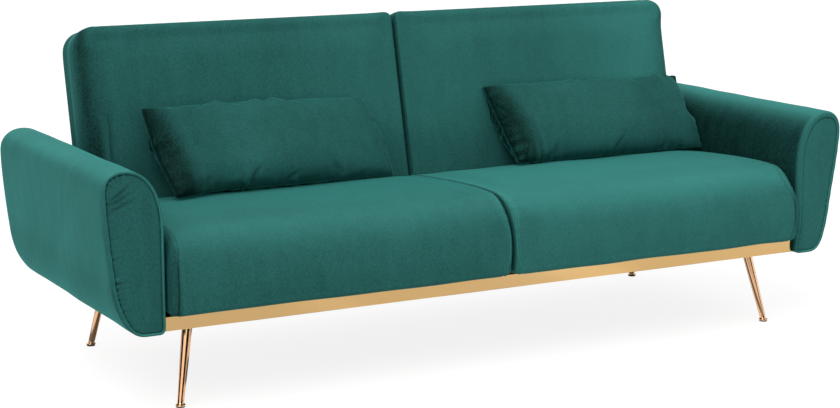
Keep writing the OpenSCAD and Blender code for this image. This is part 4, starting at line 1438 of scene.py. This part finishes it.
def makeLeg(name):
    g = legSettings
    low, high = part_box(name)
    sx = 1 if high.x > 0 else -1
    sy = 1 if (low.y + high.y) > 0 else -1
    foot = np.array([sx * (max(abs(low.x), abs(high.x)) - 0.012), (high.y if sy > 0 else low.y) - sy * 0.012])
    top = foot - np.array([sx, sy]) * 0.040
    profile = [
        (0.0030, 0.0106), (0.0034, 0.0116), (0.0042, g["disc"]), (0.0056, g["disc"]), (0.0064, 0.0119),
        (0.0072, 0.0108), (0.0079, 0.0096), (0.0090, 0.0088), (0.0108, g["footRadius"]),
    ]
    for t in np.linspace(0, 1, 22)[1:]:
        profile.append((
            0.0108 + (high.z - 0.0108) * t,
            g["footRadius"] + (g["topRadius"] - g["footRadius"]) * t))
    angles = np.linspace(0, 2 * math.pi, g["sides"], endpoint=False)
    points, faces = [], []
    for z, r in profile:
        lean = max(0.0, (z - 0.004) / high.z)
        centre = foot + (top - foot) * lean
        for a in angles:
            points.append((centre[0] + r * math.cos(a), centre[1] + r * math.sin(a), z))
    n = g["sides"]
    for k in range(len(profile) - 1):
        for j in range(n):
            faces.append((k * n + j, k * n + (j + 1) % n, (k + 1) * n + (j + 1) % n, (k + 1) * n + j))
    faces.append(list(range(n))[::-1])
    faces.append([(len(profile) - 1) * n + j for j in range(n)])
    words = name.split("_")
    piece = meshObject("leg" + words[1].capitalize() + words[2].capitalize(), points, faces)
    finishPiece(piece, "base", "rose_gold", name)
    for polygon in piece.data.polygons:
        if len(polygon.vertices) > 4:
            polygon.use_smooth = False


for legName in ("leg_front_left", "leg_front_right", "leg_rear_left", "leg_rear_right"):
    makeLeg(legName)

# springs, screws and staples, grown from node trees

springSettings = {"waves": 9, "reach": 0.022, "wire": 0.0036, "count": 7, "steps": 24}
screwSettings = {"pitch": 0.054, "head": 0.0045, "headHeight": 0.0022, "shank": 0.00225, "depth": 0.0270}
stapleSettings = {"length": 0.011, "wire": 0.0007, "proud": 0.0006, "spacing": 0.055, "inset": 0.010}


def put(tree, kind, **inputs):
    node = tree.nodes.new(kind)
    for label, value in inputs.items():
        socket = node.inputs[label.replace("_", " ")]
        if isinstance(value, bpy.types.NodeSocket):
            tree.links.new(value, socket)
        else:
            socket.default_value = value
    return node


def startNodes(name, *inputs):
    tree = bpy.data.node_groups.new(name, "GeometryNodeTree")
    kinds = {
        "Count": "NodeSocketInt", "Material": "NodeSocketMaterial", "Start": "NodeSocketVector",
        "Offset": "NodeSocketVector",
    }
    for label in inputs:
        tree.interface.new_socket(name=label, in_out="INPUT", socket_type=kinds.get(label, "NodeSocketFloat"))
    tree.interface.new_socket(name="Geometry", in_out="OUTPUT", socket_type="NodeSocketGeometry")
    return tree, tree.nodes.new("NodeGroupInput").outputs


def endNodes(tree, geometry, material):
    made = put(tree, "GeometryNodeRealizeInstances", Geometry=geometry)
    made = put(tree, "GeometryNodeSetMaterial", Geometry=made.outputs[0], Material=material)
    tree.links.new(made.outputs[0], tree.nodes.new("NodeGroupOutput").inputs[0])
    return tree


def vectorOf(tree, x=0.0, y=0.0, z=0.0):
    return put(tree, "ShaderNodeCombineXYZ", X=x, Y=y, Z=z).outputs[0]


def springTree():
    tree, inp = startNodes(
        "waveSprings", "Count", "Start", "Offset", "Length", "Reach", "Waves", "Wire", "Material",
    )
    line = put(tree, "GeometryNodeCurvePrimitiveLine", End=vectorOf(tree, y=inp["Length"]))
    line = put(
        tree, "GeometryNodeResampleCurve", Curve=line.outputs[0],
        Count=springSettings["waves"] * springSettings["steps"] + 1,
    )
    turn = mathNode(
        tree, "MULTIPLY", put(tree, "GeometryNodeSplineParameter").outputs["Factor"],
        mathNode(tree, "MULTIPLY", inp["Waves"], 2 * math.pi),
    )
    sway = mathNode(tree, "MULTIPLY", mathNode(tree, "SINE", turn), inp["Reach"])
    line = put(tree, "GeometryNodeSetPosition", Geometry=line.outputs[0], Offset=vectorOf(tree, x=sway))
    round_ = put(
        tree, "GeometryNodeCurvePrimitiveCircle", Resolution=10,
        Radius=mathNode(tree, "MULTIPLY", inp["Wire"], 0.5),
    )
    wire = put(
        tree, "GeometryNodeCurveToMesh", Curve=line.outputs[0], Profile_Curve=round_.outputs[0],
        Fill_Caps=True,
    )
    row = put(
        tree, "GeometryNodeMeshLine", Count=inp["Count"], Start_Location=inp["Start"],
        Offset=inp["Offset"],
    )
    placed = put(tree, "GeometryNodeInstanceOnPoints", Points=row.outputs[0], Instance=wire.outputs[0])
    return endNodes(tree, placed.outputs[0], inp["Material"])


def screwTree():
    s = screwSettings
    tree, inp = startNodes("plateScrews", "Width", "Reach", "Pitch", "Start", "Material")
    join = tree.nodes.new("GeometryNodeJoinGeometry")
    for top, bottom, z0, z1 in (
        (s["head"], s["head"] * 0.86, -s["headHeight"] * 0.72, 0.0),
        (s["head"] * 0.86, s["head"] * 0.52, -s["headHeight"], -s["headHeight"] * 0.72),
        (s["shank"], s["shank"], 0.0, s["depth"]),
    ):
        part = put(
            tree, "GeometryNodeMeshCone", Vertices=20, Radius_Top=top, Radius_Bottom=bottom, Depth=z1 - z0,
        )
        part = put(tree, "GeometryNodeTransform", Geometry=part.outputs[0], Translation=(0, 0, z0))
        tree.links.new(part.outputs[0], join.inputs[0])
    four = put(
        tree, "GeometryNodeMeshGrid", Size_X=inp["Pitch"], Size_Y=inp["Pitch"], Vertices_X=2, Vertices_Y=2,
    )
    set_ = put(tree, "GeometryNodeInstanceOnPoints", Points=four.outputs[0], Instance=join.outputs[0])
    legs = put(
        tree, "GeometryNodeMeshGrid", Size_X=inp["Width"], Size_Y=inp["Reach"], Vertices_X=2, Vertices_Y=2,
    )
    legs = put(tree, "GeometryNodeTransform", Geometry=legs.outputs[0], Translation=inp["Start"])
    placed = put(tree, "GeometryNodeInstanceOnPoints", Points=legs.outputs[0], Instance=set_.outputs[0])
    return endNodes(tree, placed.outputs[0], inp["Material"])


def stapleTree():
    tree, inp = startNodes(
        "staples", "Count", "Start", "Offset", "Turn", "Length", "Wire", "Proud", "Material",
    )
    crown = put(tree, "GeometryNodeMeshCube", Size=vectorOf(tree, inp["Length"], inp["Wire"], inp["Proud"]))
    row = put(
        tree, "GeometryNodeMeshLine", Count=inp["Count"], Start_Location=inp["Start"],
        Offset=inp["Offset"],
    )
    seed = put(tree, "FunctionNodeRandomValue", Seed=11)
    loose = mathNode(
        tree, "MULTIPLY_ADD", seed.outputs[1], 0.30, mathNode(tree, "SUBTRACT", inp["Turn"], 0.15),
    )
    placed = put(
        tree, "GeometryNodeInstanceOnPoints", Points=row.outputs[0], Instance=crown.outputs[0],
        Rotation=vectorOf(tree, z=loose),
    )
    return endNodes(tree, placed.outputs[0], inp["Material"])


def growPiece(name, tree, slot, *nodes, **values):
    piece = bpy.data.objects.new(name, bpy.data.meshes.new(name))
    scene.collection.objects.link(piece)
    modifier = piece.modifiers.new("grow", "NODES")
    modifier.node_group = tree
    values["Material"] = finishes[slot]
    for item in tree.interface.items_tree:
        if item.in_out == "INPUT":
            modifier[item.identifier] = values[item.name]
    bpy.context.view_layer.update()
    made = bpy.data.meshes.new_from_object(piece.evaluated_get(bpy.context.evaluated_depsgraph_get()))
    piece.modifiers.remove(modifier)
    piece.data = made
    made.name = name
    made.set_sharp_from_angle(angle=math.radians(40))
    finishPiece(piece, "base", slot, *nodes)


def makeSprings(side, tree):
    s = springSettings
    word = sideWord[side]
    low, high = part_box("seat_springs_" + word)
    first, last = low.x + s["reach"] + s["wire"] / 2, high.x - s["reach"] - s["wire"] / 2
    growPiece(
        "springs" + word.capitalize(), tree, "spring_wire", "seat_springs_" + word,
        Count=s["count"], Start=(first, low.y, (low.z + high.z) / 2),
            Offset=((last - first) / (s["count"] - 1), 0, 0),
        Length=high.y - low.y, Reach=s["reach"], Waves=float(s["waves"]), Wire=s["wire"] * 0.98,
    )


def makeScrews():
    s = screwSettings
    low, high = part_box("leg_screws")
    growPiece(
        "legScrews", screwTree(), "zinc_steel", "leg_screws",
        Width=high.x - low.x - s["pitch"] - 2 * s["head"], Reach=high.y - low.y - s["pitch"] - 2 * s["head"],
        Pitch=s["pitch"], Start=(0, (low.y + high.y) / 2, low.z + s["headHeight"]),
    )


def makeStaples():
    s = stapleSettings
    tree = stapleTree()
    low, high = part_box("dust_cover")
    x0, y0, x1, y1 = low.x + s["inset"], low.y + s["inset"], high.x - s["inset"], high.y - s["inset"]
    clear = 0.16     # the corners are cut away round the leg plates
    for name, start, end, turn in (
        ("Front", (x0 + clear, y0), (x1 - clear, y0), 0.0), ("Rear", (x0 + clear, y1), (x1 - clear, y1), 0.0),
        ("Left", (x0, y0 + clear), (x0, y1 - clear), math.pi / 2), ("Right", (x1, y0 + clear),
            (x1, y1 - clear), math.pi / 2),
    ):
        run = math.dist(start, end)
        count = int(run / s["spacing"]) + 1
        growPiece(
            "staples" + name, tree, "zinc_steel",
            Count=count, Start=(*start, low.z - s["proud"] * 0.3), Turn=turn, Length=s["length"],
                Wire=s["wire"], Proud=s["proud"],
            Offset=((end[0] - start[0]) / (count - 1), (end[1] - start[1]) / (count - 1), 0),
        )


sharedSprings = springTree()
makeSprings(-1, sharedSprings)
makeSprings(1, sharedSprings)
makeScrews()
makeStaples()
